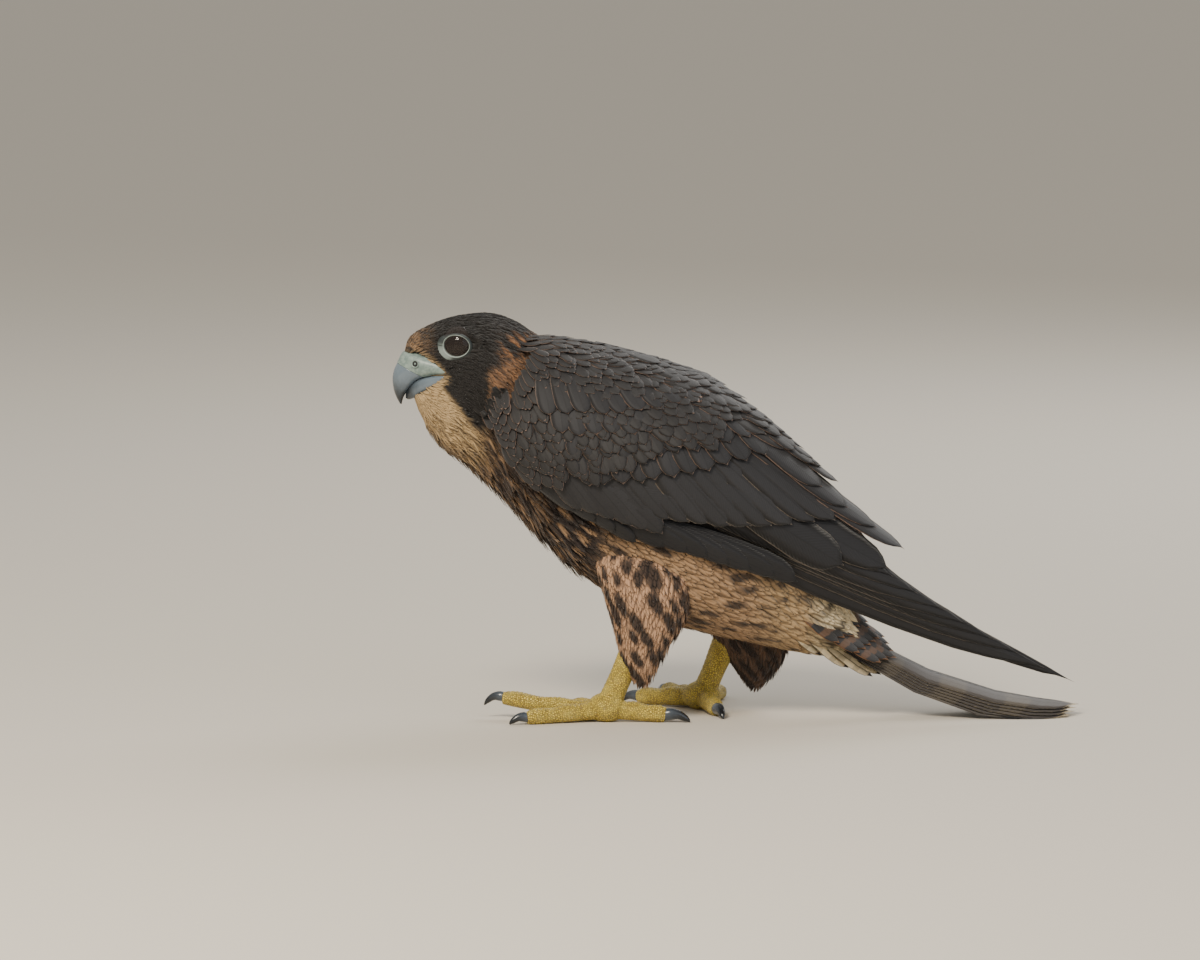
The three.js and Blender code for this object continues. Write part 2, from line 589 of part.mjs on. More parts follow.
function tarsusForm({ foot, ankle }, grow) {
  const rows = [
    [ankle.x, ankle.y, ankle.z, 7.4],
    [lerp(ankle.x, foot.x, 0.25), lerp(ankle.y, foot.y, 0.25), lerp(ankle.z, 7, 0.25), 7],
    [lerp(ankle.x, foot.x, 0.6), lerp(ankle.y, foot.y, 0.6), lerp(ankle.z, 7, 0.6), 6.1],
    [lerp(ankle.x, foot.x, 0.9), lerp(ankle.y, foot.y, 0.9), lerp(ankle.z, 7, 0.9), 6.5],
    [foot.x, foot.y, 6, 7],
  ];
  const size = new THREE.Matrix4().makeScale(PAD.x + grow, PAD.y + grow, PAD.z + grow);
  size.setPosition(foot.x, foot.y, PAD.z - 0.7);
  const ball = solidOfGeometry(new THREE.SphereGeometry(1, 12, 8), size);
  const above = ball.subtract(floorBlock(grow));
  return limb(rows, 6, { grow, sides: 10 }).add(above);
}

function floorBlock(grow) {
  const size = 900;
  const place = new THREE.Matrix4().setPosition(0, 0, -size / 2 - grow);
  return solidOfGeometry(new THREE.BoxGeometry(size, size, size), place);
}

function toe(leg, name) {
  const turn = (leg.heading + leg.spread[name]) * DEGREE;
  const length = TOE_LENGTHS[name] + 4;
  const girth = name === "hind" || name === "inner" ? 1 : 0.92;
  const rise = leg.lifted[name] ?? 0;
  const at = (share) => {
    const radius = along(TOE_GIRTH, share) * girth;
    const reach = 4 + length * share;
    const x = leg.foot.x + Math.cos(turn) * reach;
    const y = leg.foot.y + Math.sin(turn) * reach;
    return [x, y, radius * 0.93 + 1.6 * (1 - share) + rise * share ** 1.5, radius];
  };
  const rows = TOE_GIRTH.map(([share]) => at(share));
  const [x, y, z] = rows[rows.length - 1];
  const long = CLAW_LENGTHS[name];
  const thick = CLAW_GIRTH[name];
  const step = (ahead, up, radius) => {
    const reach = ahead * long;
    return [x + Math.cos(turn) * reach, y + Math.sin(turn) * reach, up, radius * thick];
  };
  const low = rise > 0 ? z - 4 : 0.5;
  const claw = [
    step(-0.16, z + 0.3, 2.3),
    step(0.14, z + 1.1, 2.5),
    step(0.46, z + 0.7, 1.9),
    step(0.74, lerp(z, low, 0.45), 1.25),
    step(0.88, low, 0.45),
  ];
  return { rows, claw };
}

// Builds both legs as { name: solid }.
function legs(torsoCutter) {
  const pieces = {};
  for (const [side, leg] of Object.entries(LEGS)) {
    const shin = tarsusForm(leg, GAP);
    pieces[`thigh_${side}`] = carved(trouserForm(leg, 0), [torsoCutter, shin]);
    pieces[`tarsus_${side}`] = tarsusForm(leg, 0);
    const earlier = [shin];
    for (const name of Object.keys(TOE_LENGTHS)) {
      const { rows, claw } = toe(leg, name);
      pieces[`toe_${side}_${name}`] = carved(limb(rows, 7, { sides: 8 }), earlier);
      const wider = limb(rows, 7, { sides: 8, grow: GAP });
      pieces[`claw_${side}_${name}`] = carved(limb(claw, 5, { sides: 6 }), [wider]);
      earlier.push(wider);
    }
  }
  return pieces;
}

// Everything in order, each piece cut clear of the ones it sits against
function build() {
  const beak = bill();
  const thighs = Object.values(LEGS).map((leg) => trouserForm(leg, GAP));
  const wide = { torso: torsoForm(GAP), neck: neckForm(GAP), head: headForm(GAP) };
  const bodyCutters = [wide.torso, wide.neck, wide.head];
  const wingLeft = wing(-1, [...bodyCutters, thighs[0]]);
  const wingRight = wing(1, [...bodyCutters, thighs[1]]);
  return {
    head: head(beak.cutters),
    cere: beak.cere,
    bill_upper: beak.upper,
    bill_lower: beak.lower,
    eye_left: eyeBall(-1, 0),
    eye_right: eyeBall(1, 0),
    neck: neckForm(0),
    torso: torsoForm(0),
    wing_left: wingLeft,
    wing_right: wingRight,
    tail: tail([wide.torso]),
    ...legs(wide.torso),
  };
}

// Colours by kind of surface
const COLOURS = {
  plumage: "#6b5540",
  wing_feather: "#3a3634",
  tail_feather: "#4a443f",
  skin_bill: "#93a5a8",
  horn: "#5b6873",
  eye: "#0d0a09",
  foot_scale: "#c9b23c",
  claw: "#2b2f36",
};

function slotOf(name) {
  if (name.startsWith("wing")) return "wing_feather";
  if (name === "tail") return "tail_feather";
  if (name === "cere") return "skin_bill";
  if (name.startsWith("bill")) return "horn";
  if (name.startsWith("eye")) return "eye";
  if (name.startsWith("claw")) return "claw";
  if (name.startsWith("toe") || name.startsWith("tarsus")) return "foot_scale";
  return "plumage";
}

function meshOf(name, solid) {
  const { vertProperties, triVerts } = largest(solid).getMesh();
  const geometry = new THREE.BufferGeometry();
  geometry.setAttribute("position", new THREE.BufferAttribute(vertProperties, 3));
  geometry.setIndex(new THREE.BufferAttribute(triVerts, 1));
  geometry.computeVertexNormals();
  const slot = slotOf(name);
  const roughness = slot === "eye" ? 0.1 : 0.7;
  const material = new THREE.MeshStandardMaterial({ color: COLOURS[slot], roughness });
  material.name = slot;
  const mesh = new THREE.Mesh(geometry, material);
  mesh.name = name;
  return mesh;
}

const group = new THREE.Group();
group.name = "peregrine_falcon";
for (const [name, solid] of Object.entries(build())) group.add(meshOf(name, solid));

// The origin is the middle of the bottom of the whole bird's box.
const box = new THREE.Box3().setFromObject(group);
const shift = box.getCenter(vec(0, 0, 0)).negate().setZ(-box.min.z);
for (const mesh of group.children) mesh.geometry.translate(shift.x, shift.y, shift.z);

export default group;
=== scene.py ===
"""Looks of a young peregrine falcon that stands on the floor with folded wings.

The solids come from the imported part. This file lays a skin, a coat of feathers, detailed wing and tail
feathers, bill, eyes and scaly feet over them, and sets a plain studio round the bird.
"""

import logging
import math
from dataclasses import dataclass, field
from enum import Enum
from typing import Callable, Sequence

import bpy
import numpy as np
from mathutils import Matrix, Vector


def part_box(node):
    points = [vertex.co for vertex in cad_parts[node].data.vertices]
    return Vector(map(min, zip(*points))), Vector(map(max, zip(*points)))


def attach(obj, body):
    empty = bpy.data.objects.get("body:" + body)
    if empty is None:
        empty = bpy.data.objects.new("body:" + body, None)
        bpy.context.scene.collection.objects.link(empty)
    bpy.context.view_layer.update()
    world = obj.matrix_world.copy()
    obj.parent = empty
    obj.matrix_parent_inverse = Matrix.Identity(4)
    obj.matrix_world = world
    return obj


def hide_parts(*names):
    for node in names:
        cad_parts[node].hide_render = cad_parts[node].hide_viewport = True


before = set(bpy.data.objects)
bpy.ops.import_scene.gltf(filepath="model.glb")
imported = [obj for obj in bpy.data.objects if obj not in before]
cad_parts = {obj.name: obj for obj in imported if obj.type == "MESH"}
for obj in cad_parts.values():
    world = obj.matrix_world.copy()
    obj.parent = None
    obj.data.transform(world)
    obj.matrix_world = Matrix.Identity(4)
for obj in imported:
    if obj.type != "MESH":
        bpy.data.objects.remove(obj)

LOG = logging.getLogger("falcon")
Array = np.ndarray
Pairs = Sequence[Sequence[float]]
Gap = Callable[[float], float]
Socket = bpy.types.NodeSocket
Value = Socket | float | tuple[float, float, float]
MM = 0.001
RNG = np.random.default_rng(29)


# Numbers and curves


def blend(low: Array, high: Array, share: Array) -> Array:
    """Straight-line mix of two values, low at share 0 and high at share 1."""
    return low + (high - low) * share


def soft_step(low: float, high: float, value: Array) -> Array:
    """Smooth rise of a value from 0 at low to 1 at high."""
    x = np.clip((value - low) / (high - low), 0, 1)
    return x * x * (3 - 2 * x)


def within(span: Sequence[float], value: Array) -> Array:
    """Smooth rise over a span's first two values and fall over its last two."""
    return soft_step(span[0], span[1], value) * (1 - soft_step(span[2], span[3], value))


def spline(rows: Array, t: Array) -> Array:
    """Catmull-Rom curve through the rows of a table, straight beyond its ends.

    Args:
        rows: Table with one row per whole value of t.
        t: Fractional row numbers, of any shape.

    Returns:
        The table's columns at t, as the last axis.
    """
    last = len(rows) - 1
    held = np.clip(t, 0, last)
    i = np.clip(np.floor(held).astype(int), 0, last - 1)
    u = np.asarray(held - i)[..., None]
    p, q, r, s = (rows[np.clip(i + k, 0, last)] for k in (-1, 0, 1, 2))
    bend, twist = 2 * p - 5 * q + 4 * r - s, 3 * q - p - 3 * r + s
    slope = 0.5 * (r - p + 2 * bend * u + 3 * twist * u**2)
    return 0.5 * (2 * q + (r - p) * u + bend * u**2 + twist * u**3) + slope * np.asarray(t - held)[..., None]


def along(pairs: Pairs, at: Array) -> Array:
    """Value of a list of (at, value) pairs, in rising order, by straight lines."""
    table = np.array(pairs, float)
    return np.interp(at, table[:, 0], table[:, 1])


def unit(v: Array) -> Array:
    """Vectors of length one."""
    return v / np.maximum(np.linalg.norm(v, axis=-1, keepdims=True), 1e-9)


def squash(v: Array, power: Array) -> Array:
    """Turns a sine or cosine into that of a superellipse of some power, 2 for an ellipse."""
    return np.sign(v) * np.abs(v) ** (2 / power)


def turns(count: int) -> Array:
    """Angles of a full turn, in equal steps."""
    return np.linspace(0, 2 * np.pi, count, endpoint=False)


# Colours


def linear(colour: str) -> tuple[float, float, float]:
    """Linear red, green and blue of an sRGB colour such as #a0b0c0."""
    parts = [int(colour[i : i + 2], 16) / 255 for i in (1, 3, 5)]
    return tuple(c / 12.92 if c <= 0.04045 else ((c + 0.055) / 1.055) ** 2.4 for c in parts)


class Tone(Enum):
    """Colours of the plumage and the bare parts."""

    CROWN = "#211d1b"
    HOOD = "#181513"
    FOREHEAD = "#8f7152"
    THROAT = "#b3986f"
    CHEEK = "#856246"
    BREAST = "#8c6f52"
    BELLY = "#9f8060"
    VENT = "#a98d68"
    THIGH = "#bf9778"
    STREAK = "#2a211e"
    BACK = "#282728"
    FRINGE = "#80695d"
    PALE_FRINGE = "#81766c"
    WING = "#252528"
    QUILL = "#1b1b1e"
    TAIL = "#4c4744"
    CREAM = "#d8c6a2"
    RUFOUS = "#9a6d48"
    # Painted shade over the far shin's lower feathers.
    SHADE_DOWN = "#3a2b25"

    @property
    def rgb(self) -> Array:
        """Linear colour as an array."""
        return np.array(linear(self.value))


# Meshes


@dataclass
class Sheet:
    """Arrays of a mesh before it becomes an object. Points are in millimetres of the design frame."""

    points: Array
    quads: Array
    tris: Array = field(default_factory=lambda: np.zeros((0, 3), int))
    uvs: dict[str, Array] = field(default_factory=dict)
    colours: dict[str, Array] = field(default_factory=dict)

    def mirrored(self) -> "Sheet":
        """The same sheet on the other side of the bird's mid-plane."""
        points = self.points * np.array([1.0, -1.0, 1.0])
        return Sheet(points, self.quads[:, ::-1], self.tris[:, ::-1], self.uvs, self.colours)

    def moved(self, change: Callable[[Array], Array]) -> "Sheet":
        """The same sheet with its points changed."""
        return Sheet(change(self.points), self.quads, self.tris, self.uvs, self.colours)


def merged(sheets: Sequence[Sheet]) -> Sheet:
    """Puts sheets with the same layers into one.

    Args:
        sheets: The sheets.

    Returns:
        One sheet with all of their faces.
    """
    starts = np.cumsum([0] + [len(s.points) for s in sheets[:-1]])
    return Sheet(
        np.concatenate([s.points for s in sheets]),
        np.concatenate([s.quads + k for s, k in zip(sheets, starts)]),
        np.concatenate([s.tris + k for s, k in zip(sheets, starts)]),
        {n: np.concatenate([s.uvs[n] for s in sheets]) for n in sheets[0].uvs},
        {n: np.concatenate([s.colours[n] for s in sheets]) for n in sheets[0].colours},
    )


def tube(rings: Array) -> Sheet:
    """Closed skin through rings of points, with a fan over each end.

    Args:
        rings: Points of shape (rings, sides, 3), turning the same way.

    Returns:
        The skin, with a UV map of (way along, way round).
    """
    count, sides = rings.shape[:2]
    grid = np.arange(count * sides).reshape(count, sides)
    nxt = np.roll(grid, -1, axis=1)
    quads = np.stack([grid[:-1], nxt[:-1], nxt[1:], grid[1:]], -1).reshape(-1, 4)
    first, last = count * sides, count * sides + 1
    low = np.stack([nxt[0], grid[0], np.full(sides, first)], -1)
    high = np.stack([grid[-1], nxt[-1], np.full(sides, last)], -1)
    ends = np.stack([rings[0].mean(0), rings[-1].mean(0)])
    u = np.repeat(np.linspace(0, 1, count), sides)
    v = np.tile(np.linspace(0, 1, sides, endpoint=False), count)
    uv = np.concatenate([np.stack([u, v], -1), [[0, 0.5], [1, 0.5]]])
    points = np.concatenate([rings.reshape(-1, 3), ends])
    sheet = Sheet(points, quads, np.concatenate([low, high]), {"Way": uv})
    return outward(sheet)


def outward(sheet: Sheet) -> Sheet:
    """Turns a closed sheet's faces outwards.

    Args:
        sheet: A closed sheet.

    Returns:
        The sheet, its volume positive.
    """
    tris = np.concatenate([sheet.tris, sheet.quads[:, [0, 1, 2]], sheet.quads[:, [0, 2, 3]]])
    a, b, c = (sheet.points[tris[:, k]] for k in range(3))
    if np.einsum("ij,ij->i", a, np.cross(b, c)).sum() < 0:
        return Sheet(sheet.points, sheet.quads[:, ::-1], sheet.tris[:, ::-1], sheet.uvs, sheet.colours)
    return sheet


def hoop(rings: Array) -> Sheet:
    """Closed ring-shaped skin: rings of points that follow one another round a loop.

    Args:
        rings: Points of shape (rings, sides, 3).

    Returns:
        The skin, with a UV map of (way along, way round).
    """
    count, sides = rings.shape[:2]
    grid = np.arange(count * sides).reshape(count, sides)
    nxt, ahead = np.roll(grid, -1, axis=1), np.roll(grid, -1, axis=0)
    quads = np.stack([grid, nxt, np.roll(nxt, -1, axis=0), ahead], -1).reshape(-1, 4)
    uv = np.stack(np.meshgrid(np.linspace(0, 1, count), np.linspace(0, 1, sides), indexing="ij"), -1)
    return outward(Sheet(rings.reshape(-1, 3), quads, uvs={"Way": uv.reshape(-1, 2)}))


def slab(top: Array, bottom: Array) -> Sheet:
    """Closed plate between two grids of points.

    Args:
        top: Points of shape (rows, columns, 3).
        bottom: The same for the other face.

    Returns:
        The plate.
    """
    rows, columns = top.shape[:2]
    up = np.arange(rows * columns).reshape(rows, columns)
    down = up + rows * columns
    face = lambda g: np.stack([g[:-1, :-1], g[1:, :-1], g[1:, 1:], g[:-1, 1:]], -1).reshape(-1, 4)
    edge = np.concatenate([up[0, :-1], up[:-1, -1], up[-1, :0:-1], up[:0:-1, 0]])
    far = np.roll(edge, -1)
    wall = np.stack([edge, far, far + rows * columns, edge + rows * columns], -1)
    uv = np.stack(np.meshgrid(np.linspace(0, 1, rows), np.linspace(0, 1, columns), indexing="ij"), -1)
    uv = np.concatenate([uv.reshape(-1, 2)] * 2)
    points = np.concatenate([top.reshape(-1, 3), bottom.reshape(-1, 3)])
    return outward(Sheet(points, np.concatenate([face(up), face(down)[:, ::-1], wall]), uvs={"Way": uv}))


@dataclass(frozen=True)
class Place:
    """Where the design frame's origin lies in the row frame, in millimetres."""

    x: float
    y: float

    @staticmethod
    def found() -> "Place":
        """Reads it off the two eyes, whose centres are named sizes of the design.

        Returns:
            The place.
        """
        low, high = (np.array(c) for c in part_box("eye_left"))
        low2, high2 = (np.array(c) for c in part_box("eye_right"))
        middle = (low + high + low2 + high2) / 4 / MM
        return Place(float(middle[0]) - EYE.x, float(middle[1]))

    def to_row(self, points: Array) -> Array:
        """Design points in the row frame, millimetres to metres."""
        return (points + np.array([self.x, self.y, 0.0])) * MM


def finished(mesh: bpy.types.Mesh, colours: dict[str, Array], finish: "Finish") -> None:
    """Gives a mesh its colours, smooth faces and material.

    Args:
        mesh: The mesh.
        colours: Name of a layer to a row per point.
        finish: Its material.
    """
    for layer, rows in colours.items():
        made = mesh.attributes.new(layer, "FLOAT_COLOR", "POINT")
        made.data.foreach_set("color", rows.ravel().astype(np.float32))
    mesh.polygons.foreach_set("use_smooth", np.ones(len(mesh.polygons), bool))
    if not mesh.materials:
        mesh.materials.append(finish.material())


def object_of(name: str, sheet: Sheet, place: Place, finish: "Finish") -> bpy.types.Object:
    """Makes a scene object of a sheet.

    Args:
        name: The object's name.
        sheet: Its arrays.
        place: Where the design frame lies.
        finish: Its material.

    Returns:
        The object, at the origin.
    """
    mesh = bpy.data.meshes.new(name)
    mesh.from_pydata(place.to_row(sheet.points), [], sheet.quads.tolist() + sheet.tris.tolist())
    corners = np.concatenate([sheet.quads.ravel(), sheet.tris.ravel()])
    for layer, uv in sheet.uvs.items():
        mesh.uv_layers.new(name=layer).data.foreach_set("uv", uv[corners].ravel().astype(np.float32))
    finished(mesh, sheet.colours, finish)
    made = bpy.data.objects.new(name, mesh)
    bpy.context.scene.collection.objects.link(made)
    return made


def given(piece: bpy.types.Object, slot: str, *nodes: str) -> bpy.types.Object:
    """Ties a piece to the frame.

    Args:
        piece: The finished piece.
        slot: The record's material slot; not used.
        nodes: The solids that it stands for.

    Returns:
        The piece.
    """
    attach(piece, "root")
    if nodes:
        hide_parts(*nodes)
    LOG.info("%s: %d faces", piece.name, len(piece.data.polygons))
    return piece


# Forms of the body, as in the solids


@dataclass(frozen=True)
class EyePlace:
    """Where the left eye's centre is, which way it looks, how large it is and what the lids leave open."""

    x: float = -104.2
    y: float = 11.4
    z: float = 206.2
    radius: float = 10.0
    forward: float = math.radians(16)
    down: float = math.radians(4)
    open_wide: float = 7.4
    open_high: float = 6.0

    def axes(self, side: float) -> tuple[Array, Array, Array]:
        """Directions of an eye.

        Args:
            side: -1 for the left eye, 1 for the right one.

        Returns:
            Where it looks, its front and its upper side.
        """
        ahead, out = math.sin(self.forward), math.cos(self.forward)
        look = unit(np.array([-ahead, side * out, -math.sin(self.down)]))
        fore = unit(np.array([-out, -side * ahead, 0.0]))
        up = np.cross(look, fore)
        return look, fore, up * np.sign(up[2])

    def opening(self, c: Array, s: Array) -> Array:
        """Radius of the opening by cosine (1 at the front) and sine (1 at the top) of the way round."""
        return 1 / np.sqrt((c / self.open_wide) ** 2 + (s / self.open_high) ** 2)

    def bare(self, c: Array, s: Array) -> Array:
        """Width of the bare skin round the opening, most to the front and a little below."""
        ahead = np.clip(0.96 * c - 0.28 * s, 0, 1)
        return 1.15 + 5.6 * ahead**3.2 + 0.6 * np.clip(-s, 0, 1) - 0.5 * np.clip(s, 0, 1)


EYE = EyePlace()
BROW = np.array([[-126.5, 206.5], [-118.0, 211.6], [-109.0, 214.4], [-99.0, 212.8], [-91.0, 208.0]])


def from_brow(x: Array, z: Array) -> Array:
    """Distance from the brow line in the side view.

    Args:
        x: Place along the bird.
        z: Height.

    Returns:
        The least distance to the line's stretches.
    """
    best = np.full(np.shape(x), 1e9)
    for (ax, az), (bx, bz) in zip(BROW[:-1], BROW[1:]):
        dx, dz = bx - ax, bz - az
        share = np.clip(((x - ax) * dx + (z - az) * dz) / (dx * dx + dz * dz), 0, 1)
        best = np.minimum(best, np.hypot(x - ax - share * dx, z - az - share * dz))
    return best


@dataclass(frozen=True)
class Form:
    """A form through sections.

    Each row holds the x and z of the section's top, those of its bottom, its half-width, the level of its widest
    place as a share of its height, and the power of its outline.
    """

    rows: Array
    centre_y: float = 0.0
    is_head: bool = False

    def at(self, t: Array, turn: Array, out: float = 0.0) -> Array:
        """Points of the surface.

        Args:
            t: Fractional rows.
            turn: Angle round the section, 0 at +Y and a quarter turn at the top.
            out: How far outside the surface.

        Returns:
            Points along the last axis.
        """
        tx, tz, bx, bz, half, level, power = np.moveaxis(spline(self.rows, t), -1, 0)
        half = np.maximum(half, 1.0)
        height = np.hypot(tx - bx, tz - bz)
        ux, uz = (tx - bx) / height, (tz - bz) / height
        c, s = np.cos(turn), np.sin(turn)
        reach = np.where(s > 0, height * (1 - level), height * level) + out
        up = squash(s, power) * reach + height * level
        side = squash(c, power) * (half + out)
        x, z = bx + ux * up, bz + uz * up
        if self.is_head:
            eye = np.hypot(x - EYE.x, z - EYE.z)
            swell = 2.4 * np.exp(-((from_brow(x, z) / 2.6) ** 2)) - 1.6 * np.exp(-((eye / 8) ** 2))
            side = side + np.sign(side) * swell * soft_step(6, 13, np.abs(side))
        return np.stack([x, self.centre_y + side, z], -1)

    def frame(self, t: Array, turn: Array) -> tuple[Array, Array, Array, Array]:
        """Point, its two directions of travel and the outward normal.

        Args:
            t: Fractional rows.
            turn: Angle round the section.

        Returns:
            Point, change per row, change per radian, normal.
        """
        h = 0.03
        p = self.at(t, turn)
        by_t = (self.at(t + h, turn) - self.at(t - h, turn)) / (2 * h)
        by_turn = (self.at(t, turn + h) - self.at(t, turn - h)) / (2 * h)
        normal = unit(np.cross(by_turn, by_t))
        tx, tz, bx, bz = np.moveaxis(spline(self.rows, t), -1, 0)[:4]
        centre = np.stack([(tx + bx) / 2, np.full(np.shape(t), self.centre_y), (tz + bz) / 2], -1)
        sign = np.sign(np.einsum("...i,...i->...", normal, p - centre))
        return p, by_t, by_turn, normal * np.where(sign == 0, 1, sign)[..., None]

    def flat(self, t: Array, turn: Array) -> Array:
        """Place on the form in millimetres, along it and round it from its lower side.

        Args:
            t: Fractional rows.
            turn: Angle round the section.

        Returns:
            Pairs along the last axis.
        """
        middle = (self.rows[:, :2] + self.rows[:, 2:4]) / 2
        steps = np.concatenate([[0], np.cumsum(np.linalg.norm(np.diff(middle, axis=0), axis=1))])
        size = (np.linalg.norm(self.rows[:, :2] - self.rows[:, 2:4], axis=1) / 2 + self.rows[:, 4]) / 2
        order = np.arange(len(self.rows))
        round_turn = (turn + 1.5 * np.pi) % (2 * np.pi) - np.pi
        return np.stack([np.interp(t, order, steps), round_turn * np.interp(t, order, size)], -1)

    def find(self, points: Array) -> tuple[Array, Array]:
        """Row and angle of points near the surface.

        Args:
            points: Points of shape (n, 3).

        Returns:
            The fractional rows and the angles.
        """
        t = np.linspace(0, len(self.rows) - 1, 160)
        rows = spline(self.rows, t)
        middle = (rows[:, :2] + rows[:, 2:4]) / 2
        best = np.argmin(np.linalg.norm(points[:, None, ::2] - middle[None], axis=2), axis=1)
        up = unit(rows[best, :2] - rows[best, 2:4])
        high = np.einsum("ij,ij->i", points[:, ::2] - middle[best], up)
        return t[best], np.arctan2(high, points[:, 1] - self.centre_y)

    def rings(
        self, count: int, sides: int, out: float | Array = 0.0, span: tuple[float, float] | None = None
    ) -> Array:
        """Rings of points for a tube.

        Args:
            count: How many rings.
            sides: Points of each ring.
            out: How far outside the surface.
            span: First and last row, the whole form if left out.

        Returns:
            Points of shape (count, sides, 3).
        """
        low, high = span or (0, len(self.rows) - 1)
        t, turn = np.meshgrid(np.linspace(low, high, count), turns(sides), indexing="ij")
        return self.at(t, turn, out)


BODY = Form(
    np.array(
        [
            [-135.3, 201.0, -129.8, 175.5, 6.5, 0.55, 2.2],
            [-131.5, 209.6, -126.5, 167.2, 8.6, 0.56, 2.2],
            [-122.1, 215.3, -121.0, 156.8, 11.4, 0.58, 2.2],
            [-111.1, 219.5, -113.9, 148.5, 15.6, 0.6, 2.2],
            [-99.6, 221.7, -105.6, 142.5, 21.5, 0.6, 2.2],
            [-86.9, 222.0, -96.8, 135.9, 24.8, 0.58, 2.2],
            [-74.3, 217.8, -88.0, 128.2, 26.8, 0.55, 2.2],
            [-61.6, 209.8, -78.7, 119.4, 30.5, 0.52, 2.2],
            [-48.4, 204.6, -68.2, 107.8, 37.0, 0.5, 2.2],
            [-31.9, 199.1, -55.0, 94.1, 43.0, 0.5, 2.2],
            [-12.1, 193.1, -38.5, 79.2, 47.0, 0.5, 2.2],
            [9.9, 184.8, -17.6, 64.9, 48.5, 0.5, 2.2],
            [31.9, 171.6, 6.6, 52.8, 46.5, 0.48, 2.2],
            [52.8, 152.9, 31.9, 45.7, 41.5, 0.46, 2.2],
            [72.6, 129.8, 56.1, 40.7, 34.5, 0.45, 2.2],
            [88.0, 105.1, 77.0, 36.3, 27.0, 0.46, 2.2],
            [100.1, 82.5, 93.5, 33.6, 20.0, 0.48, 2.2],
            [108.9, 66.0, 105.6, 34.1, 13.0, 0.5, 2.2],
        ]
    ),
    is_head=True,
)
TROUSER_LEFT = Form(
    np.array(
        [
            [8, 104, -28, 107, 7, 0.5, 2.1],
            [21, 86, -30, 89, 15.5, 0.5, 2.1],
            [22, 68, -25.5, 71, 18.5, 0.5, 2.1],
            [17, 53, -20.5, 54, 15.5, 0.5, 2.1],
            [9.5, 41, -17.5, 42, 12, 0.5, 2.1],
            [4, 31, -14.5, 32, 9, 0.5, 2.1],
            [-1, 22, -10, 24, 4.5, 0.5, 2.0],
        ]
    ),
    centre_y=-29.5,
)
TROUSER_RIGHT = Form(
    np.array(
        [
            [56, 88, 20, 94, 8, 0.5, 2.1],
            [69, 64, 20, 70, 18, 0.5, 2.1],
            [75, 47, 29, 52, 16, 0.5, 2.1],
            [75, 32, 37, 37, 13, 0.5, 2.1],
            [68, 19, 45, 26, 9, 0.5, 2.1],
            [60, 12, 51, 17, 4, 0.5, 2.0],
        ]
    ),
    centre_y=27.0,
)
UPPER_BILL = Form(
    np.array(
        [
            [-125.0, 201.0, -108.9, 188.1, 15.2, 0.12, 1.9],
            [-134.6, 201.2, -115.5, 188.1, 12.6, 0.2, 2.0],
            [-138.3, 195.8, -122.1, 187.0, 10.0, 0.28, 2.1],
            [-140.6, 191.1, -127.6, 185.1, 7.9, 0.32, 2.2],
            [-141.5, 185.9, -131.2, 181.8, 6.1, 0.35, 2.2],
            [-141.0, 180.7, -133.9, 178.5, 4.3, 0.4, 2.1],
            [-139.6, 176.3, -135.5, 175.4, 2.6, 0.45, 2.0],
            [-137.5, 172.3, -136.5, 172.0, 0.6, 0.5, 2.0],
        ]
    )
)
LOWER_BILL = Form(
    np.array(
        [
            [-112.2, 187.4, -115.5, 181.4, 13.8, 0.6, 2.2],
            [-119.9, 186.0, -122.1, 179.2, 10.8, 0.6, 2.2],
            [-126.0, 184.2, -127.1, 176.8, 7.9, 0.6, 2.2],
            [-130.4, 181.2, -131.0, 175.1, 5.5, 0.6, 2.2],
            [-132.8, 179.0, -133.1, 174.9, 3.3, 0.6, 2.1],
            [-134.2, 177.0, -134.3, 175.6, 1.3, 0.55, 2.0],
        ]
    )
)
CERE_END = 2.15  # the row where the cere ends and the horn begins


# Surfaces that feathers lie on


@dataclass(frozen=True)
class FormLie:
    """Feathers that follow a form's rows."""

    form: Form

    def spread(self, base: Array, turn: Array, ahead: Array, across: Array) -> tuple[Array, Array]:
        """Rows and angles under feathers.

        Args:
            base: Row and angle of each root, of shape (n, 2).
            turn: Angle of each shaft off the form's own direction.
            ahead: Way along the shaft, of shape (n, rows, columns).
            across: Way across it.

        Returns:
            Two arrays of shape (n, rows, columns).
        """
        _, by_t, by_turn, normal = self.form.frame(base[:, 0], base[:, 1])
        a = unit(by_t)
        b = np.cross(normal, a)
        c, s = np.cos(turn)[:, None], np.sin(turn)[:, None]
        shaft, side = a * c + b * s, b * c - a * s
        dot = lambda p, q: np.einsum("ij,ij->i", p, q)[:, None, None]
        g11, g12, g22 = dot(by_t, by_t), dot(by_t, by_turn), dot(by_turn, by_turn)
        r1 = ahead * dot(shaft, by_t) + across * dot(side, by_t)
        r2 = ahead * dot(shaft, by_turn) + across * dot(side, by_turn)
        det = g11 * g22 - g12 * g12
        t = base[:, 0, None, None] + (g22 * r1 - g12 * r2) / det
        return t, base[:, 1, None, None] + (g11 * r2 - g12 * r1) / det

    def place(self, base: Array, turn: Array, ahead: Array, across: Array, lift: Array) -> Array:
        """Points of feathers."""
        point, _, _, out = self.form.frame(*self.spread(base, turn, ahead, across))
        return point + out * lift[..., None]


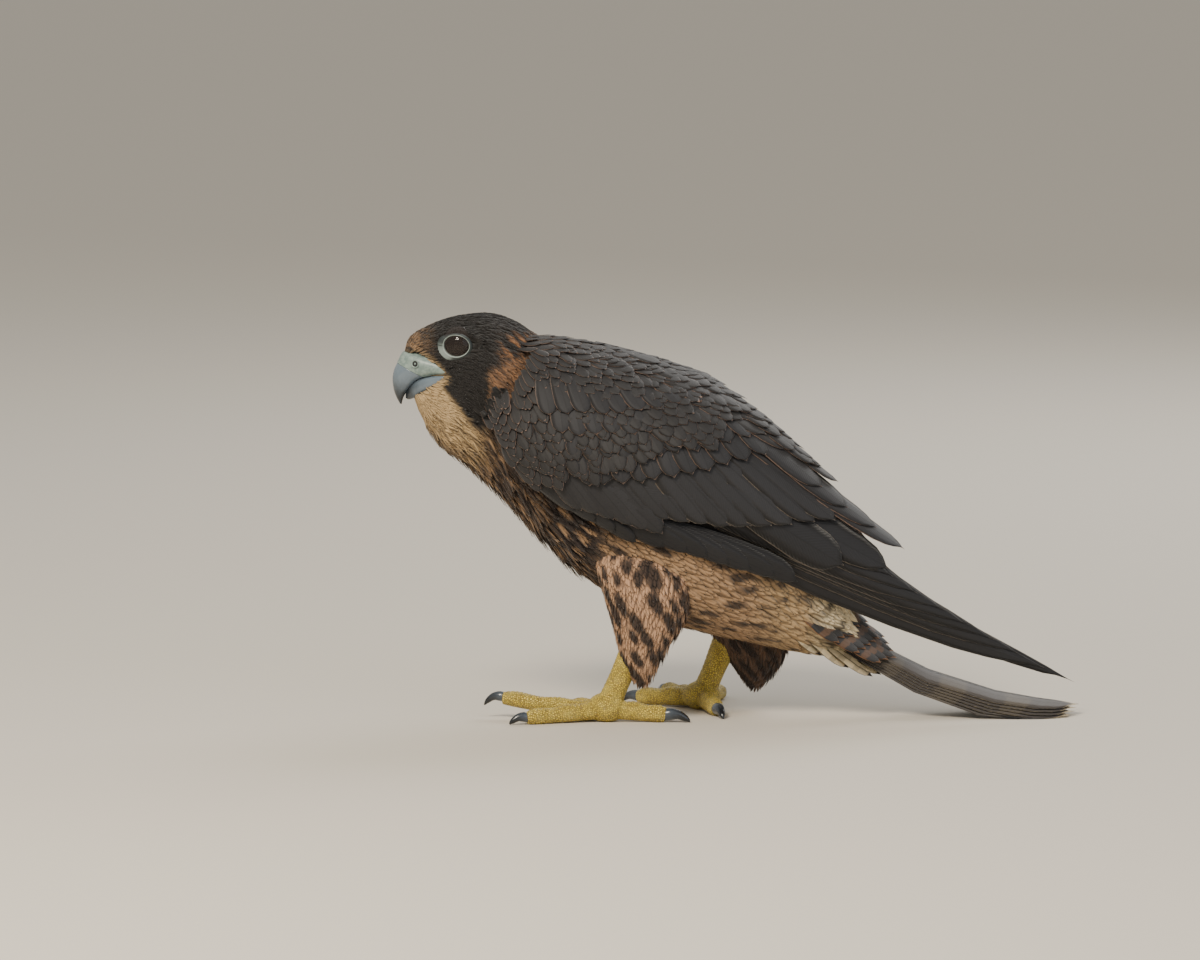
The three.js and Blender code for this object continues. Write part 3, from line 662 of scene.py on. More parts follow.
WING_TOP = [[0, 44], [20, 50], [45, 55], [75, 60], [100, 62], [140, 55], [180, 43], [220, 32], [260, 24]]
WING_TOP += [[300, 19], [357, 14]]
WING_BOTTOM = [[0, 40], [45, 45], [100, 50], [180, 42], [260, 32], [357, 20]]
WING_SIDE = [[0, 50], [20, 56], [45, 60], [75, 61], [100, 60], [140, 53], [180, 43.5], [220, 34], [260, 27]]
WING_SIDE += [[300, 22], [357, 16]]
CORE_TOP = [[0, 12], [7, 46], [19, 78], [30, 90]]
CORE_LOW = [[0, -6], [11, -16], [28, -30], [45, -33], [81, -38], [117, -35], [139, -30], [176, -22]]
CORE_LOW += [[210, -20]]
CORE_THICK = [[0, 9], [30, 17], [120, 17], [160, 9], [205, 3.5]]


@dataclass(frozen=True)
class FlatLie:
    """Feathers on a surface that unrolls into a (along it) and c (across it)."""

    def lifted(self, a: Array, c: Array, lift: Array) -> Array:
        """Points at a height over the surface, each kind of lie in its own way."""
        raise NotImplementedError

    def place(self, base: Array, turn: Array, ahead: Array, across: Array, lift: Array) -> Array:
        """Points of feathers.

        Args:
            base: Unrolled place of each root.
            turn: Angle of each shaft off the surface's own direction.
            ahead: Way along the shaft.
            across: Way across it.
            lift: Height over the surface.

        Returns:
            Points of shape (n, rows, columns, 3).
        """
        cos, sin = np.cos(turn)[:, None, None], np.sin(turn)[:, None, None]
        a = base[:, 0, None, None] + ahead * cos - across * sin
        return self.lifted(a, base[:, 1, None, None] + ahead * sin + across * cos, lift)


@dataclass(frozen=True)
class WingLie(FlatLie):
    """The folded left wing's outer surface: a runs from the bend to the tip and c round the body."""

    bend_x: float = -86.9
    bend_z: float = 173.8
    slope: float = math.radians(25.9)
    power: float = 2.2
    curl: float = 26.0
    curl_in: float = 0.34

    def surface(self, a: Array, phi: Array) -> Array:
        """Points of the bare surface.

        Args:
            a: Way from the bend to the tip.
            phi: Angle from the lower side to the back's middle line.

        Returns:
            Points along the last axis.
        """
        b = squash(np.sin(phi), self.power) * np.where(phi > 0, along(WING_TOP, a), along(WING_BOTTOM, a))
        front = np.clip((self.curl - a) / self.curl, 0, 1)
        curl = 1 - self.curl_in * (1 - np.sqrt(1 - front * front))
        half = along(WING_SIDE, a) * squash(np.cos(phi), self.power) * curl
        c, s = math.cos(self.slope), math.sin(self.slope)
        return np.stack([self.bend_x + a * c + b * s, -half, self.bend_z - a * s + b * c], -1)

    def round_at(self, a: Array) -> Array:
        """Millimetres per radian round the wing, its middle radius there."""
        return (along(WING_SIDE, a) + along(WING_TOP, a)) / 2

    def unrolled(self, a: Array, b: Array) -> Array:
        """Unrolled place (a, c) of a point of the side view, b over the wing's axis."""
        share = np.clip(np.abs(b) / np.where(b > 0, along(WING_TOP, a), along(WING_BOTTOM, a)), 0, 1)
        return np.stack([a, np.sign(b) * np.arcsin(share ** (self.power / 2)) * self.round_at(a)], -1)

    def over(self, a: Array, phi: Array, lift: Array) -> Array:
        """Points over the surface.

        Args:
            a: Way from the bend to the tip.
            phi: Angle round.
            lift: Height over the surface.

        Returns:
            Points along the last axis.
        """
        by_a = self.surface(a + 0.4, phi) - self.surface(a - 0.4, phi)
        by_phi = self.surface(a, phi + 0.02) - self.surface(a, phi - 0.02)
        return self.surface(a, phi) + unit(np.cross(by_a, by_phi)) * lift[..., None]

    def lifted(self, a: Array, c: Array, lift: Array) -> Array:
        """Points over the surface.

        Args:
            a: Way from the bend to the tip.
            c: Way round.
            lift: Height over the surface.

        Returns:
            Points that keep to the left of the mid-plane.
        """
        points = self.over(a, np.minimum(c / self.round_at(a), np.pi / 2 - 0.03), lift)
        points[..., 1] = np.minimum(points[..., 1], -0.3)
        return points


@dataclass(frozen=True)
class TailLie(FlatLie):
    """The tail's middle surface: a runs from the root to the tip and c across."""

    root_x: float = 92.0
    root_z: float = 59.0
    slopes: tuple[float, float] = (math.radians(-41), math.radians(-1))
    rolls: tuple[float, float] = (math.radians(23), math.radians(5))
    length: float = 158.0
    arch: float = 120.0

    def lifted(self, a: Array, c: Array, lift: Array) -> Array:
        """Points over the tail, none below the floor.

        Args:
            a: Way along the tail.
            c: Way across.
            lift: Height over the surface.

        Returns:
            Points along the last axis.
        """
        share = np.clip(a / self.length, 0, 1)
        slope = blend(*self.slopes, share)
        x, z = np.full(np.shape(a), self.root_x), np.full(np.shape(a), self.root_z)
        for i in range(12):
            step = blend(*self.slopes, np.clip(a * (i + 0.5) / 12 / self.length, 0, 1))
            x, z = x + np.cos(step) * a / 12, z + np.sin(step) * a / 12
        tilt = blend(*self.rolls, share)
        arched = tilt - c / self.arch
        flat, up = self.arch * np.sin(c / self.arch), self.arch * (np.cos(c / self.arch) - 1)
        y = flat * np.cos(tilt) - up * np.sin(tilt) - lift * np.sin(arched)
        high = flat * np.sin(tilt) + up * np.cos(tilt) + lift * np.cos(arched)
        height = z + np.cos(slope) * high
        return np.stack([x - np.sin(slope) * high, y, np.maximum(height, 0.25 + 0.02 * lift)], -1)


# Feathers


class Outline(Enum):
    """Half-widths along a feather, as pairs of (share of its length, share of its width)."""

    BODY = ((0, 0.55), (0.35, 1.0), (0.7, 0.88), (0.9, 0.5), (1, 0.1))
    SCALE = ((0, 0.5), (0.3, 0.88), (0.6, 1.0), (0.82, 0.86), (0.94, 0.55), (1, 0.15))
    HACKLE = ((0, 0.6), (0.35, 0.9), (0.7, 0.75), (0.9, 0.4), (1, 0.06))
    HEAD = ((0, 0.6), (0.5, 1.0), (0.85, 0.65), (1, 0.15))
    COVERT = ((0, 0.5), (0.2, 0.75), (0.45, 0.95), (0.7, 1.0), (0.86, 0.88), (0.95, 0.62), (1, 0.2))
    ROUND = (
        (0, 0.5), (0.2, 0.75), (0.45, 0.95), (0.7, 1.0), (0.86, 0.9), (0.94, 0.7), (0.985, 0.42), (1, 0.12)
    )
    POINTED = (
        (0, 0.5), (0.2, 0.85), (0.4, 1.0), (0.6, 0.93), (0.76, 0.8), (0.88, 0.58), (0.96, 0.32), (1, 0.06)
    )
    TAIL = (
        (0, 0.35), (0.2, 0.6), (0.45, 0.85), (0.7, 0.98), (0.88, 1.0), (0.95, 0.85), (0.985, 0.6), (1, 0.25)
    )


@dataclass
class Plumes:
    """A set of feathers. Every field has one row per feather.

    Form holds the width of the fringe as a share of the half-width, the same as a share of the length, the depth
    of the bars and a random number. Paint takes points, places on the form and a random number per point, and
    gives the three colours of each point.
    """

    base: Array
    turn: Array
    length: Array
    webs: Array
    lifts: Array
    roll: Array
    camber: Array
    ground: Array
    mark: Array
    form: Array
    patch: Array
    face: float = 1.0
    paint: Callable | None = None

    def sheet(self, lie: FormLie | FlatLie, outline: Outline, columns: int) -> Sheet:
        """Meshes of the feathers.

        Each feather is a closed vane. Its upper face is a grid of the outline's stations by columns that bulges
        towards the shaft, and its lower face spans from edge to edge.

        Args:
            lie: The surface that they follow.
            outline: Their outline.
            columns: Points across each vane.

        Returns:
            All of the feathers in one sheet.
        """
        table = np.array(outline.value)
        rows, count = len(table), len(self.length)
        t, v = np.meshgrid(table[:, 0], np.linspace(-1, 1, columns), indexing="ij")
        share = table[:, 1][:, None]
        wide = lambda x: x[:, None, None]
        web = np.where(v < 0, wide(self.webs[:, 0]), wide(self.webs[:, 1]))
        across = v * share * web * self.face
        ahead = t * wide(self.length) * (1 - 0.04 * np.abs(v) * (t > 0.8))
        lift = blend(wide(self.lifts[:, 0]), wide(self.lifts[:, 1]), t)
        lift = lift + wide(self.camber) * (1 - v * v) * share + wide(self.roll) * v * share
        points = lie.place(self.base, self.turn, ahead, across, lift * self.face).reshape(-1, 3)
        cell = np.arange(rows * columns).reshape(rows, columns)
        top = np.stack([cell[:-1, :-1], cell[1:, :-1], cell[1:, 1:], cell[:-1, 1:]], -1).reshape(-1, 4)
        under = np.stack([cell[:-1, 0], cell[:-1, -1], cell[1:, -1], cell[1:, 0]], -1)
        root = np.stack([np.full(columns - 2, cell[0, 0]), cell[0, 1:-1], cell[0, 2:]], -1)
        tip = np.stack([np.full(columns - 2, cell[-1, 0]), cell[-1, 2:], cell[-1, 1:-1]], -1)
        start = (np.arange(count) * rows * columns)[:, None, None]
        quads = (np.concatenate([top, under])[None] + start).reshape(-1, 4)
        tris = (np.concatenate([root, tip])[None] + start).reshape(-1, 3)
        vane = np.stack([(v + 1) / 2, t], -1).reshape(1, -1, 2)
        patch = self.patch[:, None] + (vane - 0.5) * 0.003
        each = lambda x: np.repeat(x, rows * columns, axis=0)
        ground, mark, form = each(self.ground), each(self.mark), each(self.form)
        if self.paint:
            flat = lie.form.flat(*lie.spread(self.base, self.turn, ahead, across)).reshape(-1, 2)
            ground, mark, form = self.paint(points, flat, form[:, 3])
        return Sheet(
            points,
            quads,
            tris,
            {"OFBake": patch.reshape(-1, 2), "Vane": np.repeat(vane, count, axis=0).reshape(-1, 2)},
            {"Ground": ground, "Mark": mark, "Form": form},
        )


def rgba(colour: Array, count: int) -> Array:
    """Colour rows with an alpha of one, from one colour or one per row."""
    return np.concatenate([np.broadcast_to(colour, (count, 3)), np.ones((count, 1))], 1)


def scattered(form: Form, span: tuple[float, float], gap_along: Gap, gap_round: Gap) -> Array:
    """Roots in staggered rows over a form.

    Args:
        form: The form.
        span: First and last row.
        gap_along: Takes a row number and returns the gap to the next ring of feathers.
        gap_round: Takes a row number and returns the gap between neighbours of a ring.

    Returns:
        Pairs of (row, angle).
    """
    found, t, odd = [], span[0], 0
    angles, few = np.linspace(0, 2 * np.pi, 181), np.linspace(0, 2 * np.pi, 12)
    while t < span[1]:
        ring = form.at(np.full(181, t), angles)
        arc = np.concatenate([[0], np.cumsum(np.linalg.norm(np.diff(ring, axis=0), axis=1))])
        count = max(6, int(arc[-1] / gap_round(t)))
        spots = (np.arange(count) + 0.5 * (odd % 2) + RNG.uniform(-0.22, 0.22, count)) / count * arc[-1]
        turn = np.interp(spots % arc[-1], arc, angles)
        found.append(np.stack([t + RNG.uniform(-0.25, 0.25, count) * 0.12, turn], -1))
        by_t = (form.at(t + 0.05, few) - form.at(t - 0.05, few)) / 0.1
        t += gap_along(t) / max(np.linalg.norm(by_t, axis=1).mean(), 1e-3)
        odd += 1
    return np.concatenate(found)


# Markings, as formulas of the place in the side view


def chance(i: Array, j: Array, seed: float) -> Array:
    """Number from 0 to 1 for each cell of a grid, always the same for the same cell and series."""
    return np.modf(np.abs(np.sin(i * 127.1 + j * 311.7 + seed * 74.7) * 43758.5453))[0]


@dataclass(frozen=True)
class Spots:
    """Long marks in staggered rows, moved and sized a little by chance, as millimetres over a form."""

    pitch: tuple[float, float]
    size: tuple[float, float]
    cover: float
    seed: float

    def share(self, flat: Array) -> Array:
        """How far each place lies inside a mark.

        Args:
            flat: Places along and round the form.

        Returns:
            1 inside a mark and 0 outside it.
        """
        u, v = flat[..., 0], flat[..., 1]
        best = np.full(u.shape, 9.0)
        for row in (-1, 0, 1):
            i = np.floor(u / self.pitch[0]) + row
            for column in (-1, 0, 1):
                j = np.floor(v / self.pitch[1] + 0.5 * (i % 2)) + column
                drawn = [chance(i, j, self.seed + k) for k in range(4)]
                at_u = (i + 0.5 + 0.5 * (drawn[0] - 0.5)) * self.pitch[0]
                at_v = (j + 0.5 - 0.5 * (i % 2) + 0.5 * (drawn[1] - 0.5)) * self.pitch[1]
                scale = 0.75 + 0.5 * drawn[2]
                away = np.hypot((u - at_u) / self.size[0], (v - at_v) / self.size[1]) / scale
                best = np.where(drawn[3] < self.cover, np.minimum(best, away), best)
        return 1 - soft_step(0.75, 1.2, best)


BREAST_STREAKS = Spots((11.0, 6.4), (7.5, 2.5), 1.0, 1.0)
PALE_SPOTS = Spots((14.0, 8.5), (4.6, 1.9), 0.9, 2.0)
BELLY_BLOTCHES = Spots((17.0, 10.0), (7.0, 2.7), 0.62, 3.0)
THROAT_STREAKS = Spots((9.0, 3.2), (6.0, 0.6), 0.75, 4.0)
THIGH_SPOTS = Spots((11.0, 8.6), (5.8, 2.9), 0.92, 5.0)
NAPE_SPOTS = Spots((10.0, 6.0), (5.0, 1.7), 0.55, 6.0)
BROW_STREAKS = Spots((6.0, 1.9), (4.5, 0.6), 0.85, 7.0)


@dataclass(frozen=True)
class Markings:
    """Colours of the plumage by place.

    Coordinates are those of the side view, 0.55 mm to a step, x to the tail and y down. Each pair is where a region
    fades in or out, and each line is the edge of one.
    """

    step: float = 0.55
    origin_x: float = 650.0
    floor_y: float = 716.0
    heavy_x: tuple[float, float, float, float] = (528, 560, 606, 628)
    heavy_y: tuple[float, float, float, float] = (455, 490, 545, 570)
    belly_x: tuple[float, float] = (590, 640)
    belly_y: tuple[float, float] = (470, 530)
    vent_x: tuple[float, float] = (740, 790)
    root_x: tuple[float, float] = (800, 830)
    throat_y: tuple[float, float] = (425, 468)
    throat_x: tuple[float, float] = (470, 500)
    chin_y: tuple[float, float] = (398, 440)
    back_x: tuple[float, float] = (500, 516)
    cheek_x: tuple[float, float, float, float] = (486, 494, 520, 545)
    cheek_y: tuple[float, float] = (402, 425)
    nape_x: tuple[float, float, float, float] = (496, 515, 560, 590)
    nape_y: tuple[float, float] = (326, 338)
    hood_y: tuple[float, float] = (420, 436)
    brow_x: tuple[float, float] = (412, 440)
    brow_y: tuple[float, float] = (350, 362)
    # Where painted shade on the far shin fades in, by height.
    shin_shade_y: tuple[float, float] = (590, 640)
    back_line: Pairs = ((500, 392), (560, 420), (620, 440), (700, 470), (780, 510), (860, 560))
    cap_line: Pairs = ((400, 352), (425, 352), (440, 360), (492, 366), (523, 350), (560, 348), (600, 352))
    hood_front: Pairs = ((352, 432), (373, 449), (385, 444), (397, 455), (409, 464), (422, 474), (434, 490))
    hood_rear: Pairs = ((363, 493), (376, 490), (397, 492), (415, 490), (434, 484))

    def side_view(self, points: Array) -> tuple[Array, Array]:
        """Coordinates of the side view, x to the tail and y down."""
        return points[..., 0] / self.step + self.origin_x, self.floor_y - points[..., 2] / self.step

    def body(self, points: Array, flat: Array, drawn: Array) -> tuple[Array, Array, Array]:
        """Ground colour, mark colour and form of head, neck and torso feathers.

        Args:
            points: Points of the plumage.
            flat: Their places along and round the body.
            drawn: A random number from 0 to 1 per feather.

        Returns:
            Colours of shape (n, 4) and forms of shape (n, 4).
        """
        x, y = self.side_view(points)
        x, y, count = x + (drawn - 0.5) * 4, y + (drawn - 0.5) * 3, len(x)
        ground = np.broadcast_to(Tone.BREAST.rgb, (count, 3)).copy()
        dark = BREAST_STREAKS.share(flat) * 0.95
        fringe = np.zeros(count)

        def put(share: Array, colour: Array, marks: Array | float, edge: float = 0.0) -> None:
            """Lays a region over what is there.

            Args:
                share: How far each point is inside it.
                colour: Its ground colour.
                marks: How dark its marks are.
                edge: Width of its feathers' fringes.
            """
            share = np.clip(share, 0, 1)
            ground[:] = blend(ground, colour, share[:, None])
            dark[:] = blend(dark, marks, share)
            fringe[:] = blend(fringe, edge, share)

        heavy = within(self.heavy_x, x) * soft_step(*self.heavy_y[:2], y)
        put(heavy * (1 - soft_step(*self.heavy_y[2:], y)), Tone.BREAST.rgb, 1 - PALE_SPOTS.share(flat))
        blotches = BELLY_BLOTCHES.share(flat) * 0.9
        put(soft_step(*self.belly_x, x) * soft_step(*self.belly_y, y), Tone.BELLY.rgb, blotches)
        put(soft_step(*self.vent_x, x), Tone.VENT.rgb, BELLY_BLOTCHES.share(flat * 1.4) * 0.85)
        put(soft_step(*self.root_x, x), Tone.CREAM.rgb, BELLY_BLOTCHES.share(flat * [2.2, 0.7]) * 0.8)
        throat = (1 - soft_step(*self.throat_y, y - 0.45 * (x - 440))) * (1 - soft_step(*self.throat_x, x))
        put(throat, Tone.THROAT.rgb, THROAT_STREAKS.share(flat) * soft_step(*self.chin_y, y) * 0.8)
        back = soft_step(0, 14, along(self.back_line, x) - y) * soft_step(*self.back_x, x)
        put(back, Tone.BACK.rgb, 0.0, 0.07)
        cheek = within(self.cheek_x, x) * (1 - soft_step(*self.cheek_y, y))
        put(cheek, Tone.CHEEK.rgb, THROAT_STREAKS.share(flat * 0.8) * 0.7)
        cap = soft_step(-5, 5, along(self.cap_line, x) - y)
        put(cap, Tone.CROWN.rgb, 0.0)
        nape = within(self.nape_x, x) * soft_step(*self.nape_y, y) * cap
        ground[:] = blend(ground, Tone.RUFOUS.rgb, (nape * NAPE_SPOTS.share(flat) * 0.8)[:, None])
        front, rear = along(self.hood_front, y), along(self.hood_rear, y)
        hood = soft_step(-4, 3, x - front) * soft_step(-4, 4, rear - x) * (1 - soft_step(*self.hood_y, y))
        put(hood, Tone.HOOD.rgb, 0.0)
        brow = (1 - soft_step(*self.brow_x, x)) * (1 - soft_step(*self.brow_y, y))
        ground[:] = blend(ground, Tone.FOREHEAD.rgb, (brow * BROW_STREAKS.share(flat) * 0.9)[:, None])
        shade = blend(0.88, 1.1, drawn)[:, None]
        ground = blend(ground, Tone.STREAK.rgb, np.clip(dark, 0, 1)[:, None]) * shade
        form = np.stack([fringe, fringe * 0.3, np.zeros(count), drawn], -1)
        return rgba(ground, count), rgba(Tone.FRINGE.rgb, count), form

    def trousers(self, points: Array, flat: Array, drawn: Array, near: bool) -> tuple[Array, Array, Array]:
        """The same for the feathers of a shin.

        Args:
            points: Points of the plumage.
            flat: Their places along and round the shin.
            drawn: A random number from 0 to 1 per feather.
            near: Whether it is the left leg; the right leg gets painted shade over its lower feathers.

        Returns:
            Colours and forms.
        """
        _, y = self.side_view(points)
        count = len(y)
        ground = blend(Tone.THIGH.rgb, Tone.BELLY.rgb, (drawn * 0.4)[:, None])
        dark = THIGH_SPOTS.share(flat) * 0.95
        # Painted shade: the right leg, on the far side, darkens towards its lower feathers.
        if not near:
            low = soft_step(*self.shin_shade_y, y)[:, None]
            ground = blend(ground, Tone.SHADE_DOWN.rgb, low * 0.85)
        shade = blend(0.88, 1.1, drawn)[:, None]
        ground = blend(ground, Tone.STREAK.rgb, dark[:, None]) * shade
        form = np.stack([np.zeros(count)] * 3 + [drawn], -1)
        return rgba(ground, count), rgba(Tone.STREAK.rgb, count), form


MARKINGS = Markings()


# Finishes


class Nodes:
    """Small helper over a material's node tree."""

    def __init__(self, name: str) -> None:
        """Makes an empty material.

        Args:
            name: The material's name.
        """
        self.material = bpy.data.materials.new(name)
        self.material.use_nodes = True
        self.tree = self.material.node_tree
        self.tree.nodes.clear()
        self.shader = self.add("ShaderNodeBsdfPrincipled")
        out = self.add("ShaderNodeOutputMaterial")
        self.tree.links.new(self.shader.outputs[0], out.inputs[0])

    def add(self, kind: str, inputs: dict[int | str, Value] | None = None, **options: str) -> bpy.types.Node:
        """Adds one node.

        Args:
            kind: Its type.
            inputs: Input name or number to the output that feeds it, or to a number or a colour.
            options: Properties of the node.

        Returns:
            The node.
        """
        node = self.tree.nodes.new(kind)
        for key, value in options.items():
            setattr(node, key, value)
        for key, value in (inputs or {}).items():
            if isinstance(value, Socket):
                self.tree.links.new(value, node.inputs[key])
            elif isinstance(value, tuple):
                node.inputs[key].default_value = (*value, 1.0)
            else:
                node.inputs[key].default_value = value
        return node

    def math(self, operation: str, *values: Value) -> Socket:
        """Adds a calculation of up to three values."""
        return self.add("ShaderNodeMath", dict(enumerate(values)), operation=operation).outputs[0]

    def rise(self, value: Socket, low: float, high: float) -> Socket:
        """Adds a smooth rise of a value, from 0 at low to 1 at high."""
        inputs = {0: value, 1: low, 2: high}
        return self.add("ShaderNodeMapRange", inputs, interpolation_type="SMOOTHSTEP").outputs[0]

    def mix(self, share: Value, a: Value, b: Value) -> Socket:
        """Adds a mix of two colours, a at share 0 and b at share 1."""
        return self.add("ShaderNodeMix", {0: share, 6: a, 7: b}, data_type="RGBA").outputs[2]

    def scaled(self, colour: Socket, factor: Socket) -> Socket:
        """Adds a colour multiplied by a number."""
        return self.add("ShaderNodeVectorMath", {0: colour, 3: factor}, operation="SCALE").outputs[0]

    def noise(self, scale: float, detail: float) -> Socket:
        """Adds noise over the piece's own coordinates in metres."""
        way = self.add("ShaderNodeTexCoord").outputs["Object"]
        inputs = {"Vector": way, "Scale": scale, "Detail": detail}
        return self.add("ShaderNodeTexNoise", inputs).outputs["Fac"]

    def layer(self, name: str) -> Socket:
        """Adds a reader of a layer of point colours."""
        return self.add("ShaderNodeAttribute", attribute_name=name).outputs["Color"]

    def uv(self, name: str) -> list[Socket]:
        """Adds a reader of a UV map and gives its two coordinates."""
        found = self.add("ShaderNodeUVMap", uv_map=name).outputs[0]
        return list(self.add("ShaderNodeSeparateXYZ", {0: found}).outputs)[:2]

    def set(self, **values: float | tuple[float, float, float]) -> None:
        """Sets constants of the shader by input name, with underscores for blanks."""
        for key, value in values.items():
            self.shader.inputs[key.replace("_", " ")].default_value = value

    def feed(self, name: str, output: Socket) -> None:
        """Feeds an input of the shader."""
        self.tree.links.new(output, self.shader.inputs[name])

    def bump(self, height: Socket, strength: float, distance: float) -> None:
        """Feeds the shader's normal with a bump, its depth in metres."""
        inputs = {"Height": height, "Strength": strength, "Distance": distance}
        self.feed("Normal", self.add("ShaderNodeBump", inputs).outputs[0])


@dataclass(frozen=True)
class Finish:
    """A finish that makes its material once."""

    name: str

    def material(self) -> bpy.types.Material:
        """The material.

        Returns:
            The one that exists, or a new one.
        """
        found = bpy.data.materials.get(self.name)
        if found:
            return found
        nodes = Nodes(self.name)
        self.dress(nodes)
        return nodes.material

    def dress(self, nodes: Nodes) -> None:
        """Sets the nodes of an empty material."""
        raise NotImplementedError


@dataclass(frozen=True)
class FeatherFinish(Finish):
    """Matt feathers with a faint lustre: fine barbs that slant off a shaft, each vane's markings and painted root
    shade.
    """

    barbs: float = 34.0
    roughness: float = 0.6
    sheen: float = 0.08
    ripple: float = 0.06
    shaft: float = 0.3
    # Darkening towards each vane's root: painted shade under the feathers that overlap it.
    depth: float = 0.3
    relief: float = 0.22

    def dress(self, nodes: Nodes) -> None:
        """Sets the nodes.

        Args:
            nodes: The empty material.
        """

        def edge(at: Socket, wide: Socket) -> Socket:
            """How far a place is inside a fringe of a width, 1 at the vane's edge."""
            past = nodes.math("ADD", nodes.math("SUBTRACT", at, 1.0), wide)
            return nodes.math("DIVIDE", past, wide)

        across, t = nodes.uv("Vane")
        jitter = nodes.math("SUBTRACT", nodes.noise(900.0, 2.0), 0.5)
        v = nodes.math("ABSOLUTE", nodes.math("MULTIPLY_ADD", across, 2.0, -1.0))
        wide, long, barred = list(nodes.add("ShaderNodeSeparateColor", {0: nodes.layer("Form")}).outputs)[:3]
        rough_v = nodes.math("MULTIPLY_ADD", jitter, 0.06, v)
        rough_t = nodes.math("MULTIPLY_ADD", jitter, 0.03, t)
        fringe = nodes.math("MAXIMUM", edge(rough_v, wide), edge(rough_t, long))
        fringe = nodes.math("MULTIPLY", nodes.rise(fringe, 0.1, 0.7), nodes.rise(wide, 0.005, 0.02))
        bars = nodes.rise(nodes.math("SINE", nodes.math("MULTIPLY", rough_t, 26.0)), 0.1, 0.5)
        share = nodes.math("MAXIMUM", fringe, nodes.math("MULTIPLY", bars, barred))
        colour = nodes.mix(share, nodes.layer("Ground"), nodes.layer("Mark"))
        slant = nodes.math("MULTIPLY_ADD", v, -self.barbs * 0.2, nodes.math("MULTIPLY", t, self.barbs))
        ripple = nodes.math("SINE", nodes.math("MULTIPLY", slant, 6.2832))
        shaft = nodes.rise(nodes.math("SUBTRACT", 0.06, v), 0.0, 0.04)
        dim = nodes.math("MULTIPLY_ADD", ripple, self.ripple, nodes.math("MULTIPLY_ADD", jitter, 0.35, 1.0))
        dim = nodes.math("MULTIPLY", dim, nodes.math("MULTIPLY_ADD", shaft, -self.shaft, 1.0))
        # Painted shade: each vane darkens towards its root, where the feathers over it lie.
        deep = nodes.math("MULTIPLY_ADD", nodes.rise(t, 0.0, 0.55), self.depth, 1.0 - self.depth)
        nodes.feed("Base Color", nodes.scaled(colour, nodes.math("MULTIPLY", dim, deep)))
        nodes.bump(nodes.math("MULTIPLY_ADD", shaft, 1.5, ripple), self.relief, 0.0002)
        nodes.set(Roughness=self.roughness, Specular_IOR_Level=0.35)
        nodes.set(Sheen_Weight=self.sheen, Sheen_Roughness=0.5)


@dataclass(frozen=True)
class ShadedSkinFinish(Finish):
    """Down under the feathers: matt, in the coat's colours darkened as painted shade under and between the
    feathers.
    """

    def dress(self, nodes: Nodes) -> None:
        """Sets the nodes.

        Args:
            nodes: The empty material.
        """
        noise = nodes.noise(700.0, 3.0)
        # Painted shade: the coat's colours darkened to between 35 and 85 per cent under the feathers.
        dim = nodes.math("MULTIPLY_ADD", noise, 0.5, 0.35)
        nodes.feed("Base Color", nodes.scaled(nodes.layer("Ground"), dim))
        nodes.bump(noise, 0.5, 0.0006)
        nodes.set(Roughness=0.9, Specular_IOR_Level=0.2)


@dataclass(frozen=True)
class BareFinish(Finish):
    """Smooth bare surface of two mottled colours: cere, the nostril's painted shade or floor, with the gloss given.
    """

    low: str = "#808080"
    high: str = "#909090"
    roughness: float = 0.35
    grain: float = 500.0
    relief: float = 0.00015

    def dress(self, nodes: Nodes) -> None:
        """Sets the nodes.

        Args:
            nodes: The empty material.
        """
        noise = nodes.noise(self.grain, 4.0)
        share = nodes.rise(noise, 0.35, 0.65)
        nodes.feed("Base Color", nodes.mix(share, linear(self.low), linear(self.high)))
        nodes.bump(noise, 0.3, self.relief)
        nodes.set(Roughness=self.roughness)


@dataclass(frozen=True)
class HornFinish(Finish):
    """Blue-grey horn that darkens towards the tip, with a soft gloss."""

    pale: str = "#697783"
    dark: str = "#23292f"
    span: tuple[float, float] = (0.3, 0.95)
    roughness: float = 0.24

    def dress(self, nodes: Nodes) -> None:
        """Sets the nodes.

        Args:
            nodes: The empty material.
        """
        noise = nodes.noise(350.0, 3.0)
        share = nodes.rise(nodes.math("MULTIPLY_ADD", noise, 0.25, nodes.uv("Way")[0]), *self.span)
        nodes.feed("Base Color", nodes.mix(share, linear(self.pale), linear(self.dark)))
        nodes.bump(noise, 0.25, 0.0001)
        nodes.set(Roughness=self.roughness, Coat_Weight=0.3, Coat_Roughness=0.2)


@dataclass(frozen=True)
class ScaleFinish(Finish):
    """Yellow scaly skin: small rounded plates with darker, duller seams."""

    plate: str = "#d8bd4c"
    worn: str = "#dfcb6c"
    seam: str = "#86713a"
    size: float = 900.0

    def dress(self, nodes: Nodes) -> None:
        """Sets the nodes.

        Args:
            nodes: The empty material.
        """
        way = nodes.add("ShaderNodeTexCoord").outputs["Object"]
        inputs = {"Vector": way, "Scale": self.size}
        cell = nodes.add("ShaderNodeTexVoronoi", inputs, feature="DISTANCE_TO_EDGE")
        plates = nodes.rise(cell.outputs["Distance"], 0.0, 0.22)
        patchy = nodes.math("MULTIPLY", nodes.rise(nodes.noise(160.0, 3.0), 0.4, 0.75), 0.45)
        colour = nodes.mix(plates, linear(self.seam), linear(self.plate))
        nodes.feed("Base Color", nodes.mix(patchy, colour, linear(self.worn)))
        nodes.bump(plates, 0.9, 0.0006)
        nodes.set(Roughness=0.48, Subsurface_Weight=0.05, Subsurface_Radius=(0.004, 0.002, 0.001))


